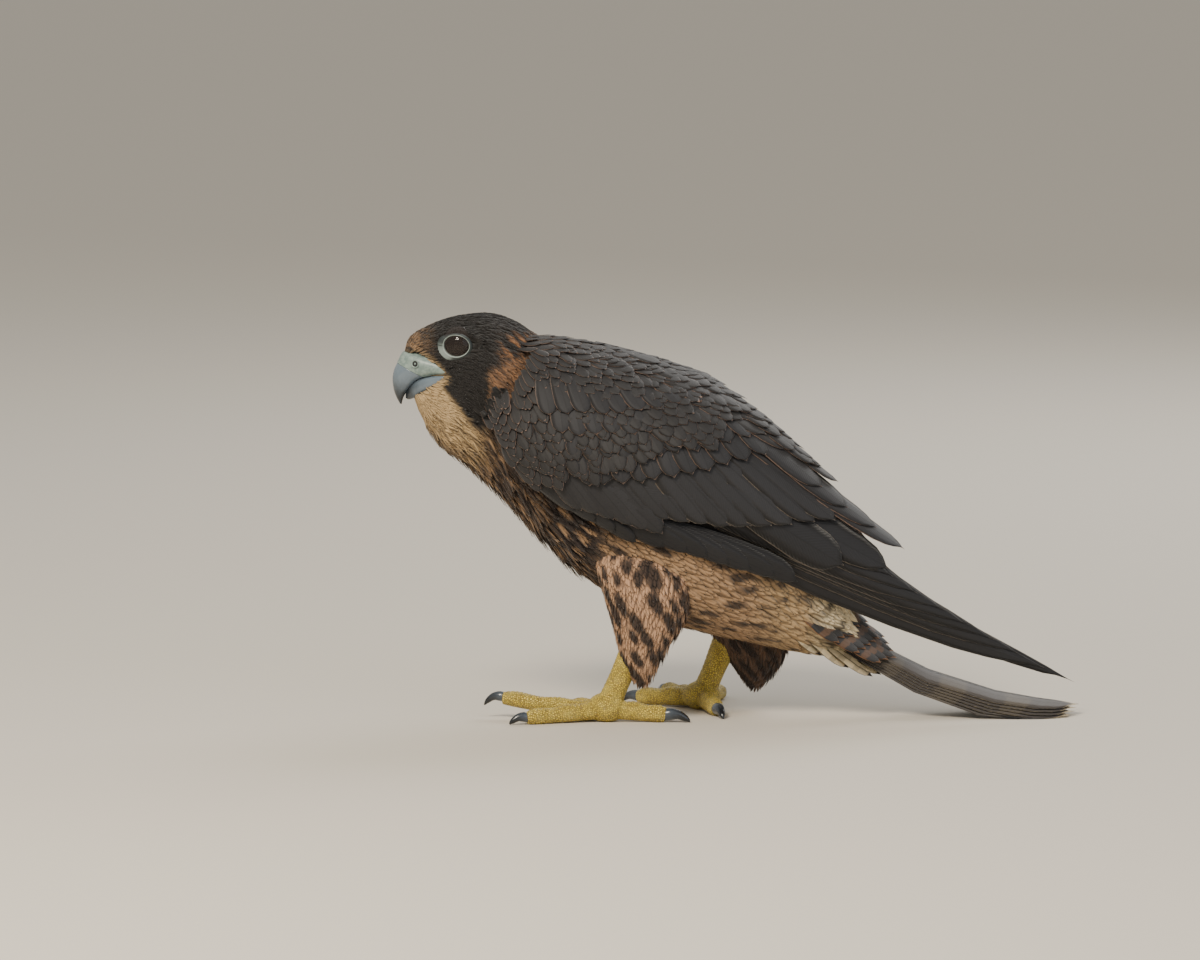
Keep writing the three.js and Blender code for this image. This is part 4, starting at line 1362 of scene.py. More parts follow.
@dataclass(frozen=True)
class LidFinish(Finish):
    """Bare skin round the eye: a pale rim at the opening, duller and greener further out, faintly moist."""

    rim: str = "#9aa8a3"
    field: str = "#343b3b"
    lobe: str = "#8f9d9b"
    rise: tuple[float, float] = (0.2, 0.32)

    def dress(self, nodes: Nodes) -> None:
        """Sets the nodes.

        Args:
            nodes: The empty material.
        """
        round_eye, outwards = nodes.uv("Way")
        noise = nodes.noise(600.0, 3.0)
        out = nodes.math("MULTIPLY_ADD", nodes.math("SUBTRACT", noise, 0.5), 0.12, outwards)
        turn = nodes.math("COSINE", nodes.math("MULTIPLY_ADD", round_eye, 6.2832, 0.55))
        near = nodes.math("SUBTRACT", 1.0, nodes.rise(out, 0.5, 0.78))
        front = nodes.math("MULTIPLY", nodes.rise(turn, 0.72, 1.0), near)
        field = nodes.mix(front, linear(self.field), linear(self.lobe))
        nodes.feed("Base Color", nodes.mix(nodes.rise(out, *self.rise), linear(self.rim), field))
        nodes.bump(noise, 0.3, 0.0002)
        nodes.set(Roughness=0.4, Coat_Weight=0.2, Coat_Roughness=0.2)


@dataclass(frozen=True)
class EyeFinish(Finish):
    """Wet cornea over a brown-black iris and pupil, which reads as black with a clear highlight."""

    pupil: str = "#010101"
    iris: str = "#030202"

    def dress(self, nodes: Nodes) -> None:
        """Sets the nodes, with the pupil where the eye looks."""
        share = nodes.rise(nodes.uv("Way")[0], 0.16, 0.2)
        nodes.feed("Base Color", nodes.mix(share, linear(self.pupil), linear(self.iris)))
        nodes.set(Roughness=0.04, Specular_IOR_Level=0.22, IOR=1.38)


FEATHER = FeatherFinish("feather")
SOFT = FeatherFinish("soft_feather", 9.0, 0.8, 0.08, 0.04, 0.06, 0.12, 0.08)
SHADED_SKIN = ShadedSkinFinish("down")
CERE = BareFinish("cere", low="#71837f", high="#8b9c95", roughness=0.38)
RING = LidFinish("eye_ring")
BILL = HornFinish("bill_horn")
CLAW = HornFinish("claw_horn", pale="#4a535d", dark="#15181c", span=(0.1, 0.9), roughness=0.22)
SCALES = ScaleFinish("foot_scales")
EYEBALL = EyeFinish("eye")
# Painted shade: the dark floor of each nostril's pit.
NOSTRIL_SHADE = BareFinish("nostril", low="#1b1c1d", high="#26282a", roughness=0.8)
FLOOR = BareFinish("floor", low="#d2cbbf", high="#d2cbbf", roughness=0.9, relief=0.0)


# Sub-assemblies


COAT_SPANS = {"face": (0.05, 2.9), "head": (2.9, 5.6), "neck": (5.6, 8.6)}
COAT_SPANS |= {"breast": (8.6, 11.6), "belly": (11.6, 17.0)}
COAT_LENGTH = [[0, 4.4], [2, 6.0], [4, 7.2], [6, 9], [7, 11], [9, 13], [12, 16], [15, 18], [17, 18]]
COAT_WIDTH = [[0, 0.62], [3, 0.7], [5, 0.9], [7, 1.35], [9, 1.9], [13, 2.3], [17, 2.3]]
COAT_RISE = [[0, 0.06], [3, 0.12], [6, 0.3], [8, 0.6], [17, 0.8]]
COAT_GAP_ALONG = [[0, 1.1], [3, 1.3], [5, 1.7], [7, 2.4], [9, 3.0], [12, 3.6], [17, 3.8]]
COAT_GAP_ROUND = [[0, 1.0], [3, 1.15], [5, 1.4], [7, 1.9], [9, 2.5], [13, 2.9], [17, 2.9]]
BILL_LINE = [[-138, 196.3], [-134.7, 200.7], [-129, 201.8], [-123.2, 199.1], [-120.4, 195.8], [-116, 190.9]]
BILL_LINE += [[-109.2, 188.5]]  # x and z of the plumage's edge over the bill
CHIN_LINE = [[172, -140], [174, -134.5], [176, -131.5], [180, -125.5], [184, -119.5], [188, -113.5]]


@dataclass
class Coat:
    """Skin under the plumage and the small feathers over head, neck, torso and shins."""

    place: Place
    depth: float = 1.6
    voxel: float = 1.5
    bodies: tuple[tuple[Form, str], ...] = ((BODY, "body"), (TROUSER_LEFT, "left"), (TROUSER_RIGHT, "right"))

    def skin(self) -> bpy.types.Object:
        """One skin through torso, neck, head and both shins, without a seam.

        The forms are drawn in by the coat's depth, fused by a voxel remesh and smoothed.

        Returns:
            The skin.
        """
        face = 3.4 * (1 - soft_step(1.4, 3.2, np.linspace(0, len(BODY.rows) - 1, 90)))[:, None]
        deeper = {"body": self.depth + face}
        sheets = [tube(form.rings(90, 72, -deeper.get(name, self.depth))) for form, name in self.bodies]
        rough = object_of("skin", merged(sheets), self.place, SHADED_SKIN)
        remesh = rough.modifiers.new("fuse", "REMESH")
        remesh.mode, remesh.voxel_size = "VOXEL", self.voxel * MM
        even = rough.modifiers.new("even", "SMOOTH")
        even.iterations = 8
        graph = bpy.context.evaluated_depsgraph_get()
        mesh = bpy.data.meshes.new_from_object(rough.evaluated_get(graph))
        old, rough.data = rough.data, mesh
        rough.modifiers.clear()
        bpy.data.meshes.remove(old)
        co = np.zeros(len(mesh.vertices) * 3, np.float32)
        mesh.vertices.foreach_get("co", co)
        points = co.reshape(-1, 3) / MM - np.array([self.place.x, self.place.y, 0])
        middle = np.full(len(points), 0.5)
        ground = MARKINGS.body(points, BODY.flat(*BODY.find(points)), middle)[0]
        shins = self.shin_share(points)[:, None]
        legs = MARKINGS.trousers(points, TROUSER_LEFT.flat(*TROUSER_LEFT.find(points)), middle, True)[0]
        finished(mesh, {"Ground": blend(ground, legs, shins)}, SHADED_SKIN)
        return given(rough, "plumage", "head", "neck", "torso", "thigh_left", "thigh_right")

    def shin_share(self, points: Array) -> Array:
        """How far points belong to a shin, rising as they leave the torso's underside."""
        low = np.interp(points[:, 0], BODY.rows[:, 2], BODY.rows[:, 3])
        return soft_step(-2, 10, low + 14 - points[:, 2]) * (points[:, 0] < 80)

    def plumes(
        self, base: Array, length: Array, width: Array, rise: Array, paint: Callable, patch: Array
    ) -> Plumes:
        """Feathers with small differences in size, angle and lift.

        Args:
            base: Row and angle of each root.
            length: Length of each.
            width: Half-width of each.
            rise: Height of each tip over the surface.
            paint: Gives the colours.
            patch: Place of each on the bake map.

        Returns:
            The feathers.
        """
        count = len(base)
        vary = lambda spread: RNG.normal(1, spread, count).clip(0.7, 1.3)
        width = width * vary(0.1)
        blank = np.zeros((count, 4))
        form = np.concatenate([np.zeros((count, 3)), RNG.uniform(0, 1, (count, 1))], 1)
        return Plumes(
            base,
            RNG.normal(0, 0.1, count),
            length * vary(0.12),
            np.stack([width, width], -1),
            np.stack([-np.interp(width, [0.6, 2.3], [0.45, 1.5]), rise * vary(0.3)], -1),
            RNG.normal(0, 0.07, count),
            width * 0.12,
            blank,
            blank,
            form,
            patch,
            paint=paint,
        )

    def patches(self, form: Form, base: Array) -> Array:
        """Places on the bake map, the form's rows by its angles."""
        share = np.stack([base[:, 0] / (len(form.rows) - 1), (base[:, 1] % (2 * np.pi)) / (2 * np.pi)], -1)
        return 0.03 + 0.94 * share

    def body_feathers(self) -> None:
        """Feathers of head, neck and torso: hair-fine on the face, larger to the rear."""
        gap_along = lambda t: float(along(COAT_GAP_ALONG, t))
        gap_round = lambda t: float(along(COAT_GAP_ROUND, t))
        for name, span in COAT_SPANS.items():
            base = scattered(BODY, span, gap_along, gap_round)
            base = base[self.shows(BODY.at(base[:, 0], base[:, 1]))]
            length, width, rise = (along(table, base[:, 0]) for table in (COAT_LENGTH, COAT_WIDTH, COAT_RISE))
            outline = Outline.HEAD if name in ("face", "head") else Outline.BODY
            plumes = self.plumes(base, length, width, rise, MARKINGS.body, self.patches(BODY, base))
            sheet = plumes.sheet(FormLie(BODY), outline, 3)
            given(object_of(f"coat_{name}", sheet, self.place, SOFT), "plumage")

    def shows(self, point: Array) -> Array:
        """Leaves out feathers on the bill, the bare skin round the eyes and deep under the wings.

        Args:
            point: Where the roots are.

        Returns:
            True for those to keep.
        """
        x, z, side = point[:, 0], point[:, 2], np.sign(point[:, 1])
        clear = np.ones(len(x), bool)
        for one in (-1, 1):
            look, fore, up = EYE.axes(one)
            away = point - np.array([EYE.x, one * EYE.y, EYE.z])
            c, s = away @ fore, away @ up
            reach = np.hypot(c, s) + 1e-6
            bare = EYE.opening(c / reach, s / reach) + EYE.bare(c / reach, s / reach) - 1.3
            clear &= (reach > bare) | (side != one)
        above = z > along(BILL_LINE, x) - 0.4
        behind = x > along(CHIN_LINE, z)
        clear &= np.where(z > 188.5, above, behind)
        wing = WingLie()
        c, s = math.cos(wing.slope), math.sin(wing.slope)
        a = (x - wing.bend_x) * c - (z - wing.bend_z) * s
        b = (x - wing.bend_x) * s + (z - wing.bend_z) * c
        under = (a > 24) & (a < 170) & (b > -16) & (b < 46) & (np.abs(point[:, 1]) > 12)
        return clear & ~under

    def chin_tufts(self) -> None:
        """Loose long-tipped feathers down the throat and the front of the neck."""
        count = 900
        t = RNG.uniform(1.4, 9.5, count)
        angle = -np.pi / 2 + RNG.normal(0, 0.55, count)
        base = np.stack([t, angle], -1)
        length = np.interp(t, [1, 4, 9], [6, 11, 17])
        rise = np.interp(t, [1, 5, 9], [0.9, 2.4, 2.8])
        plumes = self.plumes(base, length, length * 0.1, rise, MARKINGS.body, self.patches(BODY, base))
        plumes.turn = plumes.turn + RNG.normal(0, 0.15, count)
        sheet = plumes.sheet(FormLie(BODY), Outline.HACKLE, 3)
        given(object_of("coat_throat", sheet, self.place, SOFT), "plumage")

    def shin_feathers(self, form: Form, name: str) -> None:
        """Soft trousers of feathers round a shin, looser along the rear edge.

        Args:
            form: The shin's form.
            name: Which leg.
        """
        last = len(form.rows) - 1
        base = scattered(form, (0.0, last - 0.2), lambda t: 2.3, lambda t: 1.9)
        drawn = RNG.uniform(0, 1, len(base))
        length = np.interp(base[:, 0], [0, 2, last], [12, 13, 9]) * np.where(drawn > 0.92, 1.25, 1)
        width = np.interp(base[:, 0], [0, last], [1.8, 1.2])
        rear = np.clip(np.sin(base[:, 1]), 0, 1)
        rise = np.interp(base[:, 0], [0, 1, last], [-0.6, 0.7, 0.9]) + 1.2 * rear * (drawn > 0.5)
        paint = lambda points, flat, chances: MARKINGS.trousers(points, flat, chances, name == "left")
        plumes = self.plumes(base, length, width, rise, paint, self.patches(form, base))
        sheet = plumes.sheet(FormLie(form), Outline.BODY, 3)
        sheet.points[:, 2] = np.maximum(sheet.points[:, 2], 8.0)
        given(object_of(f"coat_shin_{name}", sheet, self.place, SOFT), "plumage")

    def build(self) -> None:
        """Builds the skin and every coat piece."""
        self.skin()
        self.body_feathers()
        self.chin_tufts()
        self.shin_feathers(TROUSER_LEFT, "left")
        self.shin_feathers(TROUSER_RIGHT, "right")


@dataclass(frozen=True)
class End:
    """One end of a tier of wing feathers: its tip in the side view, direction, length, webs and rise."""

    a: float
    b: float
    turn: float
    length: float
    outer: float
    inner: float
    rise: float = 0.0


@dataclass(frozen=True)
class Tier:
    """A row of wing feathers between two ends."""

    count: int
    first: End
    last: End
    bend: float
    lifts: tuple[float, float]
    outline: Outline
    roll: float
    ground: Tone
    mark: Tone
    fringe: float
    camber: float = 0.5

    def plumes(self, lie: WingLie) -> Plumes:
        """The tier's feathers.

        Args:
            lie: The wing's surface.

        Returns:
            The feathers, with small seeded differences.
        """
        t = np.linspace(0, 1, self.count)
        mix = lambda key: blend(getattr(self.first, key), getattr(self.last, key), t)
        wob = lambda spread: RNG.normal(0, spread, self.count)
        tip = lie.unrolled(mix("a") + wob(0.7), mix("b") + self.bend * np.sin(np.pi * t) + wob(0.3))
        turn = np.radians(mix("turn") + wob(1.2))
        length = mix("length")
        base = tip - np.stack([np.cos(turn), np.sin(turn)], -1) * length[:, None]
        drawn = RNG.uniform(0, 1, self.count)
        shade = blend(0.86, 1.14, drawn)[:, None]
        fringe = 1.5 * self.fringe * blend(0.7, 1.3, drawn)
        form = np.stack([fringe / mix("outer"), 1.3 * fringe / length, np.zeros(self.count), drawn], -1)
        patch = np.stack([(base[:, 0] + 60) / 460, (base[:, 1] + 90) / 240], -1)
        return Plumes(
            base,
            turn,
            length,
            np.stack([mix("outer"), mix("inner")], -1),
            np.stack([self.lifts[0] + mix("rise"), self.lifts[1] + mix("rise")], -1),
            np.full(self.count, self.roll),
            np.full(self.count, self.camber),
            rgba(self.ground.rgb * shade, self.count),
            rgba(self.mark.rgb, self.count),
            form,
            np.clip(patch, 0.01, 0.99),
        )


WING_TIERS = (
    Tier(8, End(356, 1, 5, 235, 7, 9, -6.0), End(240, 12, -2, 150, 9, 13, -0.6), -1.5, (-1.8, -0.6),
         Outline.POINTED, 0.0, Tone.QUILL, Tone.PALE_FRINGE, 0.3),
    Tier(2, End(236, 15, -5, 120, 10, 13, -0.2), End(212, 6, -8, 90, 10, 12, 0.7), 0, (-1.8, -0.4),
         Outline.ROUND, 0.0, Tone.QUILL, Tone.PALE_FRINGE, 0.35),
    Tier(10, End(104, -14, -24, 50, 8, 10, 0.4), End(196, 25, -16, 84, 9, 12, 1.6), -3, (-1.6, 0.4),
         Outline.ROUND, -0.4, Tone.WING, Tone.PALE_FRINGE, 0.5),
    Tier(4, End(238, 25, -8, 110, 9, 10, 1.4), End(182, 36, -16, 74, 10, 12, 3.0), 0, (-1.6, 0.2),
         Outline.ROUND, -0.4, Tone.WING, Tone.FRINGE, 0.6),
    Tier(7, End(192, -12.5, 3, 74, 5.5, 9, 0.0), End(118, -26, -3, 54, 5.5, 10, 0.1), 0, (-1.6, 0.2),
         Outline.ROUND, -0.3, Tone.QUILL, Tone.FRINGE, 0.0),
    Tier(4, End(104, -30, -4, 50, 5, 8, 0.5), End(66, -29, -16, 40, 5, 8, 1.0), 0, (-1.8, 0.3),
         Outline.ROUND, -0.3, Tone.QUILL, Tone.FRINGE, 0.0),
    Tier(6, End(68, -27, -38, 40, 7, 9, 1.4), End(114, -19, -22, 50, 7, 9, 1.3), 0, (-1.8, 0.2),
         Outline.COVERT, -0.4, Tone.WING, Tone.FRINGE, 0.45),
    Tier(11, End(66, -13, -58, 34, 6, 8, 2.2), End(145, 40, -34, 44, 7, 9.5, 3.0), -3, (-2.4, 0),
         Outline.COVERT, -0.4, Tone.WING, Tone.FRINGE, 0.5),
    Tier(11, End(53, -3, -58, 32, 6, 7.5, 2.8), End(134, 44, -34, 40, 7, 9, 3.5), -3, (-2.6, 0),
         Outline.COVERT, -0.4, Tone.WING, Tone.FRINGE, 0.5),
    Tier(10, End(41, 6, -56, 28, 6, 7, 3.2), End(118, 48, -34, 36, 7, 8.5, 3.9), -3, (-2.6, 0),
         Outline.COVERT, -0.3, Tone.WING, Tone.FRINGE, 0.55),
    Tier(9, End(31, 12, -54, 24, 5.5, 6.5, 3.4), End(100, 50, -32, 32, 6.5, 8, 4.2), -2, (-2.6, 0),
         Outline.COVERT, -0.3, Tone.WING, Tone.FRINGE, 0.55),
    Tier(7, End(96, 54, -10, 44, 8, 9, 4.2), End(188, 42, -9, 58, 8, 9, 3.2), 0, (-2.8, 0),
         Outline.COVERT, -0.3, Tone.BACK, Tone.FRINGE, 0.5),
    Tier(7, End(74, 57, -10, 38, 8, 8, 4.4), End(166, 49, -9, 54, 8, 8, 3.6), 0, (-2.8, 0),
         Outline.COVERT, -0.3, Tone.BACK, Tone.FRINGE, 0.5),
)


@dataclass(frozen=True)
class BackLie(FlatLie):
    """The back between the wings: a as on the wing, c from the middle line, positive to the right."""

    wing: WingLie
    to_right: Callable[[Array], Array]

    def lifted(self, a: Array, c: Array, lift: Array) -> Array:
        """Points over the back.

        Args:
            a: Way along the wing.
            c: Way from the middle line.
            lift: Height over the surface.

        Returns:
            Points along the last axis.
        """
        points = self.wing.over(a, np.pi / 2 - np.abs(c) / self.wing.round_at(a), lift)
        points[..., 1] = np.abs(points[..., 1]) * np.sign(c)
        return blend(points, self.to_right(points), soft_step(-12, 12, c)[..., None])


SHOULDER_LOW = [[0, -60], [24, -38], [30, -22], [60, 10], [90, 40]]  # lower edge of the small coverts, c by a


@dataclass
class Wings:
    """Both folded wings: a dark core, small coverts over the shoulder, tiers of feathers, and the mantle."""

    place: Place
    lie: WingLie = field(default_factory=WingLie)
    far_size: float = 0.95
    far_ahead: float = 9.0
    far_drop: float = 1.0

    def core(self) -> Sheet:
        """The flesh of the wing under the feathers, a plate between two grids over the surface.

        Returns:
            The core.
        """
        t, s = np.meshgrid(np.linspace(0, 1, 40), np.linspace(0, 1, 28), indexing="ij")
        a = blend(7.0, 200.0, t)
        phi = np.radians(blend(along(CORE_LOW, a), along(CORE_TOP, a), s))
        edge = np.maximum(np.maximum(1 - (a - 6) / 16, 1 - s / 0.14), 0)
        outer = -1.8 - 5 * edge * edge - 7 * soft_step(104, 170, a)
        c = phi * self.lie.round_at(a)
        sheet = slab(self.lie.lifted(a, c, outer), self.lie.lifted(a, c, outer - along(CORE_THICK, a)))
        # The flesh takes painted shade from its finish, which darkens this colour under the feathers.
        sheet.colours["Ground"] = rgba(Tone.BACK.rgb, len(sheet.points))
        return sheet

    def shoulder(self) -> Plumes:
        """Small marginal coverts that cover the wing's front in close rows.

        Returns:
            The feathers.
        """
        rows = []
        for k, a in enumerate(np.arange(-3.5, 98.0, 4.4)):
            low = math.radians(float(along(CORE_LOW, a))) * 0.95
            high = math.radians(min(float(along(CORE_TOP, a + 6)) + 6, 89.0))
            radius = float(self.lie.round_at(a))
            count = int((high - low) * radius / np.interp(a, [0, 12, 30, 90], [3.6, 4.6, 6.2, 7.0]))
            phi = (np.arange(count) + 0.5 * (k % 2) + RNG.uniform(-0.25, 0.25, count)) / count
            c = blend(low, high, phi) * radius
            keep = (c > along(SHOULDER_LOW, a)) & ((a > 1) | (c < 14))
            rows.append(np.stack([a + RNG.uniform(-0.9, 0.9, count), c], -1)[keep])
        base = np.concatenate(rows)
        size = np.interp(base[:, 0], [0, 20, 92], [0.62, 0.92, 1.25])
        turn = np.radians(np.interp(base[:, 1], [-40, 20, 80], [-34, -38, -16]))
        rise = np.interp(base[:, 0], [-4, 0, 30, 92], [1.0, 1.2, 2.6, 4.4])
        return self.small(base, turn, size, rise, (base + [8, 60]) / [114, 184])

    def mantle(self) -> Plumes:
        """Feathers of the back between the wings, across the middle line.

        Returns:
            The feathers.
        """
        rows = []
        for k, a in enumerate(np.arange(-4.0, 152.0, 5.5)):
            wide = float(np.interp(a, [-4, 30, 90, 150], [30, 32, 26, 12]))
            c = np.arange(-wide, wide, 6.2)
            c = c + 3.1 * (k % 2) + RNG.uniform(-1, 1, len(c))
            rows.append(np.stack([a + RNG.uniform(-1, 1, len(c)), c], -1))
        base = np.concatenate(rows)
        size = np.interp(base[:, 0], [-4, 6, 30, 92, 150], [0.6, 0.85, 1.1, 1.5, 1.8])
        rise = np.interp(base[:, 0], [-4, 6, 30, 92, 150], [-0.4, 1.2, 3.0, 4.8, 4.2])
        return self.small(base, np.zeros(len(base)), size, rise, (base + [12, 40]) / [600, 160] + [0.7, 0.45])

    def small(self, base: Array, turn: Array, size: Array, rise: Array, patch: Array) -> Plumes:
        """Small coverts.

        Args:
            base: The roots.
            turn: Direction of each.
            size: Size of each, 1 for a length of 20.
            rise: Height of each over the surface.
            patch: Place of each on the bake map.

        Returns:
            The feathers, with small seeded differences.
        """
        count = len(base)
        drawn = RNG.uniform(0, 1, count)
        fringe = blend(0.4, 0.8, drawn)
        form = np.stack([fringe / (4.3 * size), fringe / (16 * size), np.zeros(count), drawn], -1)
        return Plumes(
            base,
            turn + RNG.normal(0, 0.09, count),
            20 * size * RNG.uniform(0.88, 1.12, count),
            np.stack([4.3 * size, 4.6 * size], -1),
            np.stack([rise - 3.4, rise + 0.5 * size], -1),
            RNG.normal(-0.12, 0.06, count),
            0.42 * size,
            rgba(Tone.BACK.rgb * blend(0.82, 1.12, drawn)[:, None], count),
            rgba(Tone.FRINGE.rgb * blend(0.75, 1.1, drawn[::-1])[:, None], count),
            form,
            np.clip(patch, 0.01, 0.99),
        )

    def to_right(self, sheet: Sheet) -> Sheet:
        """Mirrors a sheet of the left wing and moves it to the right wing's place."""
        return sheet.mirrored().moved(self.far)

    def far(self, points: Array) -> Array:
        """Moves points from the left wing's side view to the right wing's.

        Args:
            points: Points, already on the right side.

        Returns:
            The moved points.
        """
        x, z = points[..., 0] - self.lie.bend_x, points[..., 2] - self.lie.bend_z
        x = self.far_size * x + self.lie.bend_x - self.far_ahead
        return np.stack([x, points[..., 1], self.far_size * z + self.lie.bend_z - self.far_drop], -1)

    def build(self) -> None:
        """Builds both wings."""
        core = self.core()
        vanes = [tier.plumes(self.lie).sheet(self.lie, tier.outline, 5) for tier in WING_TIERS]
        vanes.append(self.shoulder().sheet(self.lie, Outline.SCALE, 5))
        quills = merged(vanes)
        for side, turn in (("left", lambda s: s), ("right", self.to_right)):
            piece = object_of(f"wing_feathers_{side}", turn(quills), self.place, FEATHER)
            given(piece, "wing_feather", f"wing_{side}")
            given(object_of(f"wing_flesh_{side}", turn(core), self.place, SHADED_SKIN), "wing_feather")
        back = self.mantle().sheet(BackLie(self.lie, self.far), Outline.SCALE, 5)
        given(object_of("mantle_feathers", back, self.place, FEATHER), "wing_feather")


@dataclass
class Tail:
    """Tail feathers in pairs, with coverts over and under their roots."""

    place: Place
    lie: TailLie = field(default_factory=TailLie)
    pairs: int = 6

    def plumes(
        self,
        base: Array,
        tip: Array,
        webs: Array,
        lifts: Array,
        colours: tuple[Array, Array, Array],
        face: float = 1.0,
        camber: float = 0.4,
    ) -> Plumes:
        """Feathers from roots to tips of the tail's surface.

        Args:
            base: The roots.
            tip: The tips.
            webs: Half-widths on both sides.
            lifts: Heights at root and tip.
            colours: Ground, mark and form.
            face: 1 over the tail, -1 under it.
            camber: Bulge towards the shaft.

        Returns:
            The feathers.
        """
        way = tip - base
        count = len(base)
        patch = np.stack([0.05 + (base[:, 0] + 20) / 220, 0.5 + base[:, 1] / 80], -1)
        return Plumes(
            base,
            np.arctan2(way[:, 1], way[:, 0]),
            np.linalg.norm(way, axis=1),
            webs,
            lifts,
            np.zeros(count),
            np.full(count, camber),
            *colours,
            np.clip(patch, 0.01, 0.99),
            face,
        )

    def quills(self) -> Sheet:
        """The main tail feathers, the middle pair on top.

        Returns:
            The feathers.
        """
        side = np.repeat([-1.0, 1.0], self.pairs)
        i = np.tile(np.arange(self.pairs), 2)
        spread = (i + 0.5) * side
        base = np.stack([np.full(len(i), 2.0), spread * 1.8], -1)
        tip = np.stack([self.lie.length - 1.4 * i - 3.2 * np.maximum(0, i - 4), spread * 3.2], -1)
        outer = blend(12.0, 7.0, i / (self.pairs - 1))
        inner = np.full(len(i), 9.0)
        webs = np.where(side[:, None] < 0, np.stack([outer, inner], -1), np.stack([inner, outer], -1))
        beneath = np.where(side > 0, 0.6, 0.0)
        lifts = np.stack([0.4 - 0.6 * i - beneath, 2.6 - 1.2 * i - beneath], -1)
        drawn = RNG.uniform(0, 1, len(i))
        form = np.stack([np.full(len(i), 0.02), np.full(len(i), 0.035), np.full(len(i), 0.06), drawn], -1)
        colours = (rgba(Tone.TAIL.rgb * 0.8, len(i)), rgba(Tone.CREAM.rgb * 0.8, len(i)), form)
        return self.plumes(base, tip, webs, lifts, colours).sheet(self.lie, Outline.TAIL, 5)

    def coverts(
        self,
        face: float,
        count: int,
        reach: float,
        width: float,
        lift: float,
        ground: Tone,
        mark: Tone,
        bars: float,
    ) -> Sheet:
        """A layer of coverts.

        Args:
            face: 1 over the tail, -1 under it.
            count: How many.
            reach: Where the middle ones end.
            width: Half-width of each.
            lift: Height at the tips.
            ground: Their colour.
            mark: Colour of bars and fringes.
            bars: How strong the bars are.

        Returns:
            The feathers.
        """
        c = (np.arange(count) - (count - 1) / 2) * width * 1.05
        base = np.stack([np.full(count, reach - 50.0), c * 0.7], -1)
        tip = np.stack([reach - np.abs(c) * 0.5 + RNG.normal(0, 1.5, count), c], -1)
        webs = np.full((count, 2), width)
        lifts = np.broadcast_to([lift * 0.8, lift], (count, 2)).copy()
        drawn = RNG.uniform(0, 1, count)
        form = np.stack([np.full(count, 0.12), np.full(count, 0.05), np.full(count, bars), drawn], -1)
        colours = (rgba(ground.rgb, count), rgba(mark.rgb, count), form)
        return self.plumes(base, tip, webs, lifts, colours, face, 0.7).sheet(self.lie, Outline.COVERT, 5)

    def build(self) -> None:
        """Builds the tail."""
        sheets = [self.quills()]
        for k in range(3):
            sheets.append(self.coverts(1, 6 + k, 52 - 12 * k, 6.2, 3.6 + 0.9 * k, Tone.BACK, Tone.RUFOUS, 0.25))
            sheets.append(self.coverts(-1, 6 + k, 54 - 12 * k, 6.4, 6.4 + 0.9 * k, Tone.CREAM, Tone.STREAK, 0.3))
        piece = object_of("tail_feathers", merged(sheets), self.place, FEATHER)
        given(piece, "tail_feather", "tail")


